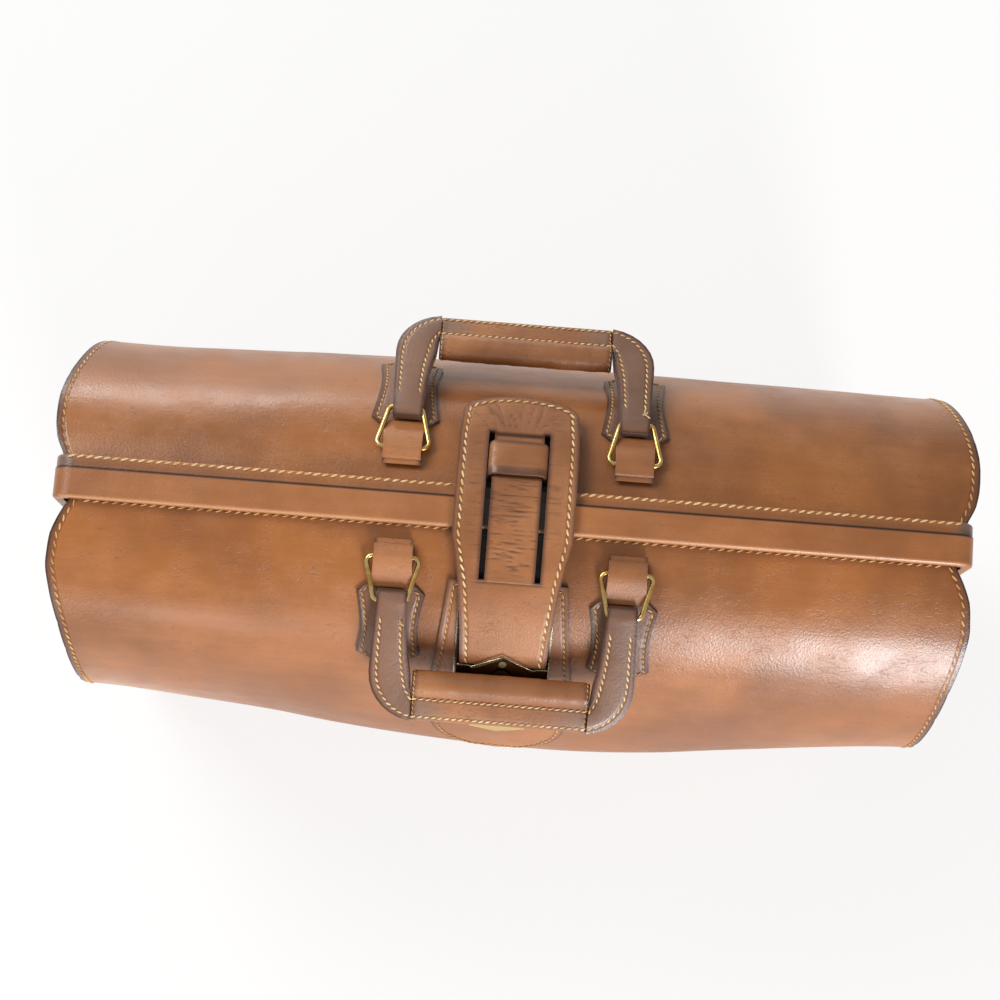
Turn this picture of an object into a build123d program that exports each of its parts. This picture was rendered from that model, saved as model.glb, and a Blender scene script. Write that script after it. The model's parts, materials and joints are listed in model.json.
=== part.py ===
from build123d import *
import os
from math import cos, radians, sin

os.makedirs("parts", exist_ok=True)

# A leather brief bag with a hinged frame mouth, in millimetres. It stands on z = 0 on its studs.
# Its length lies along X, its front faces -Y, and both jaws of the mouth turn about one line
# along X at the hinge height. Whatever slides past something else is concentric with that line.
HINGE_HEIGHT = 205.0
FRAME_LENGTH = 450.0
SHOULDER = 92.0            # outer radius of the leather that curves down from the frame
LEATHER = 2.8
CLEARANCE = 0.3
RUNNING_FIT = 0.05
FRONT = 1
BACK = -1
ENDS = {"left": -1, "right": 1}

# Lower body: height, half length, half depth at its ends and forward bow of its plan at that height.
BODY_PLAN = [
    (8.0, 222.0, 62.0, 2.0),
    (50.0, 226.0, 70.0, 10.0),
    (100.0, 229.0, 78.0, 16.0),
    (150.0, 230.0, 85.0, 17.5),
    (181.0, 230.0, 89.6, 15.0),
    (197.0, 230.0, 91.4, 12.4),
]
BODY_FOOT = BODY_PLAN[0][0]
BACK_BOW = 0.5             # share of the front's bow that the back panel has
BACK_SWELL = 0.3           # share of the front shoulder's bulge that the back one has
GUSSET = 2.5
GUSSET_RECESS = 1.5        # the panels' stitched edges stand this far past the gussets
BASE_THICKNESS = 3.0
BASE_EDGE = (1.0, 2.0)     # how far the base stands out past the gussets' and the panels' feet
BASE_CORNER = 8.0
BOARD_THICKNESS = 3.0
LINING = 1.0
LINING_TOP = 181.0
STUD_SPREAD = (185.0, 45.0)
STUD_RADIUS = 6.0
STUD_FLANGE = 8.0
STUD_FOOT = 3.0            # height of the part of a stud that touches the floor
STUD_HEIGHT = BODY_FOOT - BASE_THICKNESS
STUD_SHANK = 2.0

# Frame: each jaw is a steel hoop inside a leather cover. Depths are y values at the closed mouth.
COVER_HALF = FRAME_LENGTH / 2
COVER_INNER = 219.5
COVER_FOOT = 20.0          # the covers end this far above the hinge line
COVER_CORNER = 9.0
FRONT_COVER = {"meet": 4.0, "web": -6.0, "lip": -11.0, "top": 97.0}
BACK_COVER = {"meet": 4.5, "web": 8.0, "lip": 11.0, "top": 95.0}
LIP_UNDERSIDE = 92.3
WEB_UNDERSIDE = 86.0
STRIP = 1.5                # thickness of the steel strip
FRONT_STRIP_X = 222.2
BACK_STRIP_X = 220.4
STRIP_TOP = 92.5
EYE = 7.0
PIN = 2.0
PIN_HEAD = 4.5

# Upper body
SHOULDER_HALF = 223.4
SHOULDER_END = 94.6
SHOULDER_SWELL = 7.0       # how far the front shoulder bulges at mid length, low down
SWELL_FROM = 58.0          # lean from which it bulges
SHOULDER_DROP = 6.0        # how much tighter the shoulder curves at the ends of the bag
DROP_FROM = 80.0           # distance from mid length past which it does
MIDWAY_DROP = 0.6          # share of that drop that is reached half way to the bulge
CHEEK_OUTER = COVER_INNER
CHEEK = 2.8
CHEEK_CLEAR = 12.0         # the cheeks are cut back this far round the hinge pin
CHEEK_TRIM = 10.0          # what is trimmed off a cheek's rim to fit the shoulder is thinner than this

# Rings, and the loops that hold them
RING_X = 57.0
WIRE = 1.2
RING_WIDE = 27.0
RING_NARROW = 16.0
RING_CORNER = 3.0
WIDE_BAR = (95.65, 16.5)   # radius and lean of the bar that lies in the loop
NARROW_BAR = (100.2, 28.7)
LOOP_WIDTH = 18.5
LOOP_WALL = 2.0
PATCH = 1.8

# Handles: distances run from the ring's narrow bar, in the plane of the handle.
HANDLE_SLOPE = 29.0
HANDLE_THICKNESS = 5.5
HANDLE_HALF = 67.0
HANDLE_REACH = 69.6
HANDLE_CORNER = 27.0
LEG_END = 11.5
GRIP_RADIUS = 7.5
GRIP_HALF = 43.5
GRIP_GAP = 0.2             # left free at each end of the roll
GRIP_AT = 50.0
GRIP_CORE = 5.0
FLANGE_FROM = 55.0

# Closing strap, and the lock that it carries
STRAP_INNER = 98.0
STRAP_OUTER = 100.7
STRAP_HALF = 29.5
STRAP_ARCH = -36.0
CREASE = 21.4
CREASE_GAP = 0.2           # degrees of lean left free each side of the crease
SLIT_X = 13.6
SLIT_WIDTH = 2.8
SLIT_FROM = -22.7
SLIT_TO = 19.6
KEEPER = (-18.7, -8.8)
KEEPER_LEG = 2.0
KEEPER_BRIDGE = (101.0, 103.2)
FLAP_END = 62.5
CAP_FROM = 47.0
CAP_HALF = 22.6
CAP_INNER = 97.4
CAP_OUTER = 101.4
CAP_FOLD = 0.7             # degrees of lean that the fold over the strap's end takes
HASP_HALF = 15.0
HASP_OUTER = 102.4
HASP_APEX = 43.4
HASP_TIP = 83.0
KEY_LEAN = 50.0
KEY_RADIUS = 3.5
KEY_HEAD = 4.6
KEY_TOP = 103.4
KEY_SLOT = (4.9, 1.1, 1.5) # length, width and depth of the coin slot
CAM = (94.9, 95.75)
CAM_REACH = 12.0
CAM_HALF = 2.6
LOCK_PLATE = (92.4, 94.6)
LOCK_PLATE_HALF = 22.5
LOCK_PLATE_SPAN = (31.5, 58.0)
LOCK_PATCH = 2.0
STRIKE_LIP = (96.5, 97.1)
STRIKE_X = (6.0, 16.0)
STRIKE_POST = 2.0
STRIKE_SPAN = (45.0, 55.0)
RIVET = 1.2
RIVET_HEAD = 1.9
RIVET_HEAD_RISE = 0.6


def at(radius, lean):
    """A point of the YZ plane at a radius about the hinge line; positive leans are to the front."""
    return (-radius * sin(radians(lean)), HINGE_HEIGHT + radius * cos(radians(lean)))


def band(inner, outer, start, end):
    """Add to the open sketch the band between two radii about the hinge line."""
    middle = (start + end) / 2
    with BuildLine() as edge:
        Line(at(inner, start), at(outer, start))
        ThreePointArc(at(outer, start), at(outer, middle), at(outer, end))
        Line(at(outer, end), at(inner, end))
        ThreePointArc(at(inner, end), at(inner, middle), at(inner, start))
    make_face(edge.edges())


def curved_sheet(inner, outer, start, end, x_from, x_to):
    """A sheet curved about the hinge line, from one x to another."""
    with BuildPart() as sheet:
        with BuildSketch(Plane.YZ.offset(x_from)):
            band(inner, outer, start, end)
        extrude(amount=x_to - x_from)
    return sheet.part


def facing(lean):
    """The plane through the hinge line that looks straight out at a lean."""
    outward = (0, -sin(radians(lean)), cos(radians(lean)))
    return Plane(origin=(0, 0, HINGE_HEIGHT), x_dir=(1, 0, 0), z_dir=outward)


def spot(x, lean, centre, radius=SHOULDER):
    """Where a point of a curved sheet falls in the plane that faces out at the centre."""
    return (x, radius * sin(radians(centre - lean)))


def pin_through(x, lean, radius, start, end):
    """A radial pin through curved sheets, between two distances from the hinge line."""
    with BuildPart() as pin:
        with BuildSketch(facing(lean).offset(start)):
            with Locations((x, 0)):
                Circle(radius)
        extrude(amount=end - start)
    return pin.part


def keep(piece, name):
    """Label a finished piece and write it under its own name."""
    piece.part.label = name
    export_step(piece.part, f"parts/{name}.step")


def keep_mirrored(piece, plane, name):
    """Write the same piece mirrored to the other side of the bag."""
    with BuildPart() as twin:
        mirror(piece.part, about=plane)
    keep(twin, name)


def plan_at(height):
    """Half length, half depth and front bow of the lower body at a height."""
    for low, high in zip(BODY_PLAN, BODY_PLAN[1:]):
        if height <= high[0]:
            share = (height - low[0]) / (high[0] - low[0])
            return [a + (b - a) * share for a, b in zip(low[1:], high[1:])]


# Lower body: two panels, two gussets, a base with its board and studs, and a lining.
def lower_panel(side):
    with BuildPart() as panel:
        for height, half_length, half_depth, bow in BODY_PLAN:
            outer = -side * half_depth
            inner = -side * (half_depth - LEATHER)
            swell = -side * bow * (1 if side == FRONT else BACK_BOW)
            with BuildSketch(Plane.XY.offset(height)):
                with BuildLine():
                    Line((-half_length, inner), (-half_length, outer))
                    ThreePointArc((-half_length, outer), (0, outer + swell), (half_length, outer))
                    Line((half_length, outer), (half_length, inner))
                    ThreePointArc((half_length, inner), (0, inner + swell), (-half_length, inner))
                make_face()
        loft(ruled=True)
    return panel


keep(lower_panel(FRONT), "front_panel")
keep(lower_panel(BACK), "back_panel")

HINGE_TAB = 13.0
TAB_ROOT = 190.0
GUSSET_INNER = BODY_PLAN[-1][1] - GUSSET_RECESS - GUSSET
with BuildPart() as right_gusset:
    for height, half_length, half_depth, bow in BODY_PLAN:
        with BuildSketch(Plane.XY.offset(height)):
            with Locations((half_length - GUSSET_RECESS - GUSSET / 2, 0)):
                Rectangle(GUSSET, 2 * (half_depth - LEATHER))
    loft(ruled=True)
    with BuildSketch(Plane.YZ.offset(GUSSET_INNER)):
        with Locations((0, HINGE_HEIGHT)):
            Circle(HINGE_TAB)
        with Locations((0, (HINGE_HEIGHT + TAB_ROOT) / 2)):
            Rectangle(2 * HINGE_TAB, HINGE_HEIGHT - TAB_ROOT)
    extrude(amount=GUSSET)
    with BuildSketch(Plane.YZ.offset(GUSSET_INNER)):
        with Locations((0, HINGE_HEIGHT)):
            Circle(PIN)
    extrude(amount=GUSSET, mode=Mode.SUBTRACT)
keep(right_gusset, "right_gusset")
keep_mirrored(right_gusset, Plane.YZ, "left_gusset")

STUD_PLACES = [(x, y) for x in (-STUD_SPREAD[0], STUD_SPREAD[0]) for y in (-STUD_SPREAD[1], STUD_SPREAD[1])]
STUD_PLACES.append((0, 0))
BOARD_FOOT = BODY_FOOT
BOARD_TOP = BOARD_FOOT + BOARD_THICKNESS
with BuildPart() as base_studs:
    with BuildSketch(Plane.XY):
        with Locations(*STUD_PLACES):
            Circle(STUD_RADIUS)
    extrude(amount=STUD_FOOT)
    with BuildSketch(Plane.XY.offset(STUD_FOOT)):
        with Locations(*STUD_PLACES):
            Circle(STUD_FLANGE)
    extrude(amount=STUD_HEIGHT - STUD_FOOT)
    with BuildSketch(Plane.XY.offset(STUD_HEIGHT)):
        with Locations(*STUD_PLACES):
            Circle(STUD_SHANK)
    extrude(amount=BOARD_TOP - STUD_HEIGHT)
keep(base_studs, "base_studs")

with BuildPart() as base_panel:
    with BuildSketch(Plane.XY.offset(STUD_HEIGHT)):
        length = 2 * (BODY_PLAN[0][1] + BASE_EDGE[0])
        depth = 2 * (BODY_PLAN[0][2] + BASE_EDGE[1])
        RectangleRounded(length, depth, BASE_CORNER)
        with Locations(*STUD_PLACES):
            Circle(STUD_SHANK, mode=Mode.SUBTRACT)
    extrude(amount=BASE_THICKNESS)
keep(base_panel, "base_panel")

BOARD_HALF_LENGTH = BODY_PLAN[0][1] - GUSSET_RECESS - GUSSET - CLEARANCE
BOARD_HALF_DEPTH = BODY_PLAN[0][2] - LEATHER - CLEARANCE
with BuildPart() as base_board:
    with BuildSketch(Plane.XY.offset(BOARD_FOOT)):
        RectangleRounded(2 * BOARD_HALF_LENGTH, 2 * BOARD_HALF_DEPTH, BASE_CORNER)
        with Locations(*STUD_PLACES):
            Circle(STUD_SHANK, mode=Mode.SUBTRACT)
    extrude(amount=BOARD_THICKNESS)
keep(base_board, "base_board")


def lining_block(foot, inset):
    """The space inside the walls from a height up, drawn in by an inset."""
    heights = [foot] + [row[0] for row in BODY_PLAN if foot < row[0] <= LINING_TOP]
    with BuildPart() as block:
        for height in heights:
            half_length, half_depth, bow = plan_at(height)
            x = half_length - GUSSET_RECESS - GUSSET - inset
            y = half_depth - LEATHER - inset
            with BuildSketch(Plane.XY.offset(height)):
                with BuildLine():
                    ThreePointArc((-x, -y), (0, -y - bow), (x, -y))
                    Line((x, -y), (x, y))
                    ThreePointArc((x, y), (0, y + bow * BACK_BOW), (-x, y))
                    Line((-x, y), (-x, -y))
                make_face()
        loft(ruled=True)
    return block.part


with BuildPart() as lining:
    add(lining_block(BOARD_TOP, CLEARANCE))
    add(lining_block(BOARD_TOP + LINING, CLEARANCE + LINING), mode=Mode.SUBTRACT)
keep(lining, "lining")

# Hinge pins: each end has one, through the gusset's tab and the eyes of both steel hoops.
PIN_HEAD_THICKNESS = 1.2
PIN_INNER = BACK_STRIP_X - CLEARANCE - PIN_HEAD_THICKNESS
PIN_COLLAR = FRONT_STRIP_X + STRIP + CLEARANCE
PIN_OUTER = GUSSET_INNER + GUSSET
with BuildPart() as right_pin:
    for start, end, radius in [
        (PIN_INNER, PIN_INNER + PIN_HEAD_THICKNESS, PIN_HEAD),
        (PIN_INNER, PIN_OUTER, PIN),
        (PIN_COLLAR, GUSSET_INNER, PIN_HEAD),
        (PIN_OUTER, PIN_OUTER + PIN_HEAD_THICKNESS, PIN_HEAD),
    ]:
        with BuildSketch(Plane.YZ.offset(start)):
            with Locations((0, HINGE_HEIGHT)):
                Circle(radius)
        extrude(amount=end - start)
with BuildPart() as hinge_pins:
    add(right_pin.part)
    mirror(right_pin.part, about=Plane.YZ)
keep(hinge_pins, "hinge_pins")


# Jaws: hoops, covers, curved shoulders and cheeks.
def hoop(y_from, y_to, half, top, corner, inner_half, underside, inner_corner, foot):
    """An upside-down U across the mouth, with heights above the hinge line."""
    low = HINGE_HEIGHT + foot
    high = HINGE_HEIGHT + top
    under = HINGE_HEIGHT + underside
    with BuildPart() as arch:
        with BuildSketch(Plane.XZ.offset(-y_to)):
            with BuildLine():
                FilletPolyline((-half, low), (-half, high), (half, high), (half, low), radius=corner)
                Line((half, low), (inner_half, low))
                FilletPolyline(
                    (inner_half, low),
                    (inner_half, under),
                    (-inner_half, under),
                    (-inner_half, low),
                    radius=inner_corner,
                )
                Line((-inner_half, low), (-half, low))
            make_face()
        extrude(amount=y_to - y_from)
    return arch.part


EYE_NECK = 6.0
LIP_ROUND = 1.8
STRIP_MARGIN = 1.3         # leather left between the steel strip and the faces of its cover


def steel_hoop(cover, strip_x):
    """A flat steel strip bent across the mouth, with an eye at each end on the hinge line."""
    edges = sorted((cover["meet"], cover["web"]))
    y_from = edges[0] + STRIP_MARGIN / 2
    y_to = edges[1] - STRIP_MARGIN / 2
    with BuildPart() as frame:
        outer = strip_x + STRIP
        corner = COVER_CORNER - COVER_HALF + outer
        inside = (strip_x, STRIP_TOP - STRIP, corner - STRIP)
        add(hoop(y_from, y_to, outer, STRIP_TOP, corner, *inside, COVER_FOOT))
        for end in ENDS.values():
            with BuildSketch(Plane.YZ.offset(min(end * strip_x, end * outer))):
                with Locations((0, HINGE_HEIGHT)):
                    Circle(EYE)
                with Locations(((y_from + y_to) / 2, HINGE_HEIGHT + COVER_FOOT - EYE_NECK / 2)):
                    Rectangle(y_to - y_from, EYE_NECK)
                make_hull()
                with Locations((0, HINGE_HEIGHT)):
                    Circle(PIN + RUNNING_FIT, mode=Mode.SUBTRACT)
            extrude(amount=STRIP)
    return frame


def frame_cover(cover, steel, lip_edge):
    """The leather over a hoop: a deep web, and a lip that hangs over the shoulder's edge."""
    web = sorted((cover["meet"], cover["web"]))
    lip = sorted((cover["web"], cover["lip"]))
    sizes = (COVER_HALF, cover["top"], COVER_CORNER, COVER_INNER)
    with BuildPart() as leather:
        add(hoop(web[0], web[1], *sizes, WEB_UNDERSIDE, LEATHER, COVER_FOOT))
        add(hoop(lip[0], lip[1], *sizes, LIP_UNDERSIDE, LEATHER, COVER_FOOT))
        rim = leather.edges().group_by(Axis.Y)[lip_edge].sort_by(Axis.Z)[-1]
        fillet(rim, radius=LIP_ROUND)
        add(steel.part, mode=Mode.SUBTRACT)
    return leather


front_frame = steel_hoop(FRONT_COVER, FRONT_STRIP_X)
back_frame = steel_hoop(BACK_COVER, BACK_STRIP_X)
front_frame_cover = frame_cover(FRONT_COVER, front_frame, 0)
back_frame_cover = frame_cover(BACK_COVER, back_frame, -1)
keep(front_frame, "front_frame")
keep(back_frame, "back_frame")
keep(front_frame_cover, "front_frame_cover")
keep(back_frame_cover, "back_frame_cover")

# Rivets of the lock plate go through the front shoulder.
LOCK_RIVET_X = 19.0
LOCK_RIVET_LEANS = (34.0, 55.5)
LOCK_RIVET_PLACES = [(end * LOCK_RIVET_X, lean) for end in ENDS.values() for lean in LOCK_RIVET_LEANS]
LOCK_RIVET_TOP = LOCK_PLATE[1] + RIVET_HEAD_RISE

with BuildPart() as lock_rivets:
    for x, lean in LOCK_RIVET_PLACES:
        add(pin_through(x, lean, RIVET, SHOULDER - LEATHER, LOCK_RIVET_TOP))
        add(pin_through(x, lean, RIVET_HEAD, LOCK_PLATE[1] + RUNNING_FIT, LOCK_RIVET_TOP))
keep(lock_rivets, "lock_rivets")

MIDWAY_SWELL = 0.35        # share of the bulge that is reached half way down it
FRONT_SHOULDER_START = 3.0
BACK_SHOULDER_START = 4.3
FRONT_CHEEK_START = -2.4
BACK_CHEEK_START = 3.4
STATIONS = (40.0, DROP_FROM, 115.0, 150.0, 185.0, CHEEK_OUTER - CHEEK, CHEEK_OUTER, SHOULDER_HALF)
SHOULDER_STATIONS = [-x for x in reversed(STATIONS)] + [0.0] + list(STATIONS)


def radii_along(outer, x, swell):
    """Radii of a shoulder at its top, on the way down, at the bend, below it and at its lower edge."""
    drop = SHOULDER_DROP * (max(0.0, abs(x) - DROP_FROM) / (SHOULDER_HALF - DROP_FROM)) ** 2
    full = swell * (1 - (x / BODY_PLAN[-1][1]) ** 2)
    at_bend = outer - drop
    return outer, outer - drop * MIDWAY_DROP, at_bend, at_bend + full * MIDWAY_SWELL, at_bend + full


def swollen_sheet(inner, outer, start, end, x_stations, swell):
    """A sheet curved about the hinge line: tighter at the ends of the bag, and bulging low down."""
    side = 1 if end > start else -1
    bend = side * SWELL_FROM
    leans = (start, (start + bend) / 2, bend, (bend + end) / 2, end)
    with BuildPart() as sheet:
        for x in x_stations:
            outside = [at(radius, lean) for radius, lean in zip(radii_along(outer, x, swell), leans)]
            inside = [at(radius, lean) for radius, lean in zip(radii_along(inner, x, swell), leans)]
            with BuildSketch(Plane.YZ.offset(x)):
                with BuildLine():
                    Line(inside[0], outside[0])
                    ThreePointArc(*outside[:3])
                    ThreePointArc(*outside[2:])
                    Line(outside[-1], inside[-1])
                    ThreePointArc(*reversed(inside[2:]))
                    ThreePointArc(*reversed(inside[:3]))
                make_face()
        loft(ruled=True)
    return sheet.part


def shoulder(side, start, swell, fittings):
    """The leather that curves from under the frame's lip down into the mouth of the lower body."""
    leans = (side * start, side * SHOULDER_END)
    with BuildPart() as leather:
        add(swollen_sheet(SHOULDER - LEATHER, SHOULDER, *leans, SHOULDER_STATIONS, swell))
        for fitting in fittings:
            add(fitting.part, mode=Mode.SUBTRACT)
    return leather


def cheek(side, start, end, fittings):
    """The upper part of a gusset: a sector that hangs from the frame's arm."""
    leans = sorted((side * start, side * SHOULDER_END))
    edges = sorted((end * CHEEK_OUTER, end * (CHEEK_OUTER - CHEEK)))
    shell = (SHOULDER - LEATHER, SHOULDER + CHEEK_TRIM, side * (start - 1), side * (SHOULDER_END + 1))
    with BuildPart() as leather:
        add(curved_sheet(CHEEK_CLEAR, SHOULDER - LEATHER, *leans, *edges))
        add(swollen_sheet(*shell, edges, 0.0), mode=Mode.SUBTRACT)
        for fitting in fittings:
            add(fitting.part, mode=Mode.SUBTRACT)
    return leather


front_mouth = [front_frame, front_frame_cover]
back_mouth = [back_frame, back_frame_cover]
front_shoulder = shoulder(FRONT, FRONT_SHOULDER_START, SHOULDER_SWELL, front_mouth + [lock_rivets])
back_shoulder = shoulder(BACK, BACK_SHOULDER_START, SHOULDER_SWELL * BACK_SWELL, back_mouth)
keep(front_shoulder, "front_shoulder")
keep(back_shoulder, "back_shoulder")
for end_name, end in ENDS.items():
    keep(cheek(FRONT, FRONT_CHEEK_START, end, front_mouth), f"front_{end_name}_cheek")
    keep(cheek(BACK, BACK_CHEEK_START, end, back_mouth), f"back_{end_name}_cheek")

# Ring loops: a short strap folded round each ring's wide bar and sewn down on a keystone patch.
LOOP_FOLD = (94.7, 11.8)
LOOP_FOLD_RADIUS = 2.6
LOOP_TAIL = (93.1, 25.5)
LOOP_TAIL_RADIUS = 1.0
PATCH_TOP = 19.0
PATCH_CORNER = (17.0, 28.0)
PATCH_WAIST = (15.0, 38.0)
PATCH_FOOT = (18.0, 49.0)
PATCH_TIP = 54.0
PATCH_CENTRE = 36.0
PATCH_BLANK = 1.0          # degrees by which the blank is longer than the patch cut from it


def ring_loop(x):
    with BuildPart() as loop:
        with BuildSketch(Plane.YZ.offset(x - LOOP_WIDTH / 2)):
            with Locations(at(*WIDE_BAR)):
                Circle(WIRE + CLEARANCE + LOOP_WALL)
            with Locations(at(*LOOP_FOLD)):
                Circle(LOOP_FOLD_RADIUS)
            with Locations(at(*LOOP_TAIL)):
                Circle(LOOP_TAIL_RADIUS)
            make_hull()
            with Locations((0, HINGE_HEIGHT)):
                Circle(SHOULDER, mode=Mode.SUBTRACT)
            with Locations(at(*WIDE_BAR)):
                Circle(WIRE + CLEARANCE, mode=Mode.SUBTRACT)
        extrude(amount=LOOP_WIDTH)
    return loop


def ring_patch(x, loop):
    """The stitched patch, pointed at both ends and waisted, with the loop's tail let into it."""
    reach = PATCH_FOOT[0] + CLEARANCE
    with BuildPart() as patch:
        blank = (PATCH_TOP - PATCH_BLANK, PATCH_TIP + PATCH_BLANK, x - reach, x + reach)
        add(curved_sheet(SHOULDER, SHOULDER + PATCH, *blank))
        with BuildSketch(facing(PATCH_CENTRE)):
            with BuildLine():
                top = spot(x, PATCH_TOP, PATCH_CENTRE)
                tip = spot(x, PATCH_TIP, PATCH_CENTRE)
                side = (PATCH_CORNER, PATCH_WAIST, PATCH_FOOT)
                right = [spot(x + half, lean, PATCH_CENTRE) for half, lean in side]
                left = [spot(x - half, lean, PATCH_CENTRE) for half, lean in side]
                Line(top, right[0])
                ThreePointArc(*right)
                Polyline(right[2], tip, left[2])
                ThreePointArc(*reversed(left))
                Line(left[0], top)
            make_face()
        extrude(amount=2 * SHOULDER, mode=Mode.INTERSECT)
        add(loop.part, mode=Mode.SUBTRACT)
    return patch


for end_name, end in ENDS.items():
    loop = ring_loop(end * RING_X)
    patch = ring_patch(end * RING_X, loop)
    keep(loop, f"front_{end_name}_loop")
    keep(patch, f"front_{end_name}_patch")
    keep_mirrored(loop, Plane.XZ, f"back_{end_name}_loop")
    keep_mirrored(patch, Plane.XZ, f"back_{end_name}_patch")

# Brass rings: wire bent to a rounded trapezoid.
wide = at(*WIDE_BAR)
narrow = at(*NARROW_BAR)
RING_LENGTH = ((narrow[0] - wide[0]) ** 2 + (narrow[1] - wide[1]) ** 2) ** 0.5
RING_ALONG = (0, (narrow[0] - wide[0]) / RING_LENGTH, (narrow[1] - wide[1]) / RING_LENGTH)
RING_NORMAL = (0, -RING_ALONG[2], RING_ALONG[1])


def ring(x):
    with BuildPart() as wire_ring:
        with BuildLine(Plane(origin=(x, *wide), x_dir=(1, 0, 0), z_dir=RING_NORMAL)) as path:
            FilletPolyline(
                (-RING_WIDE / 2, 0),
                (RING_WIDE / 2, 0),
                (RING_NARROW / 2, RING_LENGTH),
                (-RING_NARROW / 2, RING_LENGTH),
                radius=RING_CORNER,
                close=True,
            )
        bend = path.wires()[0]
        with BuildSketch(Plane(origin=bend @ 0, z_dir=bend % 0)):
            Circle(WIRE)
        sweep(path=bend)
    return wire_ring


for end_name, end in ENDS.items():
    brass = ring(end * RING_X)
    keep(brass, f"front_{end_name}_ring")
    keep_mirrored(brass, Plane.XZ, f"back_{end_name}_ring")

# Handles: a flat leather U whose crosspiece is rolled round a core.
SLOPE = radians(HANDLE_SLOPE)
HANDLE_PLANE = Plane(origin=(0, *narrow), x_dir=(1, 0, 0), z_dir=(0, sin(SLOPE), -cos(SLOPE)))
LEG_NECK = (5.75, 4.0)
LEG_SHOULDER = (7.0, 10.0)
LEG_INNER = [(51.25, 0.0), (51.25, 4.0), (50.0, 10.0), (49.2, 30.0), (GRIP_HALF + GRIP_GAP, 44.0)]


def grip_rod(radius):
    """A round rod along the crosspiece."""
    rod_plane = Plane(HANDLE_PLANE.from_local_coords((0, GRIP_AT, 0)), x_dir=(0, 1, 0), z_dir=(1, 0, 0))
    with BuildPart() as rod:
        with BuildSketch(rod_plane):
            Circle(radius)
        extrude(amount=GRIP_HALF, both=True)
    return rod.part


with BuildPart() as front_handle_leather:
    with BuildSketch(HANDLE_PLANE):
        with BuildLine():
            leg_outer = [
                (RING_X + LEG_NECK[0], 0.0),
                (RING_X + LEG_NECK[0], LEG_NECK[1]),
                (RING_X + LEG_SHOULDER[0], LEG_SHOULDER[1]),
                (HANDLE_HALF, HANDLE_REACH - HANDLE_CORNER),
            ]
            Polyline(*leg_outer)
            RadiusArc(leg_outer[-1], (HANDLE_HALF - HANDLE_CORNER, HANDLE_REACH), -HANDLE_CORNER)
            Line((HANDLE_HALF - HANDLE_CORNER, HANDLE_REACH), (0, HANDLE_REACH))
            Line((0, HANDLE_REACH), (0, FLANGE_FROM))
            Line((0, FLANGE_FROM), (GRIP_HALF + GRIP_GAP, FLANGE_FROM))
            Line((GRIP_HALF + GRIP_GAP, FLANGE_FROM), LEG_INNER[-1])
            Polyline(*reversed(LEG_INNER))
            Line(LEG_INNER[0], leg_outer[0])
        make_face()
        mirror(about=Plane.YZ)
    extrude(amount=HANDLE_THICKNESS / 2, both=True)
    for end in ENDS.values():
        with BuildSketch(Plane.YZ.offset(end * RING_X - LEG_END / 2)):
            with Locations(narrow):
                Circle(HANDLE_THICKNESS / 2)
        extrude(amount=LEG_END)
    with BuildSketch(Plane.YZ.offset(-HANDLE_HALF)):
        with Locations(narrow):
            Circle(WIRE + CLEARANCE)
    extrude(amount=2 * HANDLE_HALF, mode=Mode.SUBTRACT)
    add(grip_rod(GRIP_RADIUS), mode=Mode.SUBTRACT)
with BuildPart() as front_handle_core:
    add(grip_rod(GRIP_CORE))
with BuildPart() as front_handle_grip:
    add(grip_rod(GRIP_RADIUS))
    add(front_handle_core.part, mode=Mode.SUBTRACT)
for piece, name in [
    (front_handle_leather, "handle_leather"),
    (front_handle_grip, "handle_grip"),
    (front_handle_core, "handle_core"),
]:
    keep(piece, f"front_{name}")
    keep_mirrored(piece, Plane.XZ, f"back_{name}")

# Closing strap: it slides through the keeper on the back jaw, and its front part folds up.
STRAP_MIDDLE = (STRAP_INNER + STRAP_OUTER) / 2
SADDLE_CENTRE = (STRAP_ARCH + CREASE) / 2
ARCH_SHOULDER = -19.0
ARCH_SIDE = (26.2, -30.5)
TAPER_FROM = 9.0
CREASE_HALF = 25.0


def strap_spot(x, lean, centre):
    return spot(x, lean, centre, STRAP_MIDDLE)


with BuildPart() as closing_strap:
    add(curved_sheet(STRAP_INNER, STRAP_OUTER, STRAP_ARCH, CREASE - CREASE_GAP, -STRAP_HALF, STRAP_HALF))
    with BuildSketch(facing(SADDLE_CENTRE)):
        with BuildLine():
            crown = strap_spot(0, STRAP_ARCH, SADDLE_CENTRE)
            side_point = strap_spot(ARCH_SIDE[0], ARCH_SIDE[1], SADDLE_CENTRE)
            arch_foot = strap_spot(STRAP_HALF, ARCH_SHOULDER, SADDLE_CENTRE)
            taper = strap_spot(STRAP_HALF, TAPER_FROM, SADDLE_CENTRE)
            crease_end = strap_spot(CREASE_HALF, CREASE, SADDLE_CENTRE)
            Spline(crown, side_point, arch_foot, tangents=[(1, 0), (0, -1)])
            Polyline(arch_foot, taper, crease_end, (0, crease_end[1]), crown)
        make_face()
        mirror(about=Plane.YZ)
    extrude(amount=2 * SHOULDER, mode=Mode.INTERSECT)
    with BuildSketch(facing(SADDLE_CENTRE)):
        slit_ends = [strap_spot(0, lean, SADDLE_CENTRE)[1] for lean in (SLIT_FROM, SLIT_TO)]
        with Locations(*[(end * SLIT_X, sum(slit_ends) / 2) for end in ENDS.values()]):
            SlotOverall(slit_ends[0] - slit_ends[1], SLIT_WIDTH, rotation=90)
    extrude(amount=2 * SHOULDER, mode=Mode.SUBTRACT)
keep(closing_strap, "closing_strap")

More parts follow.
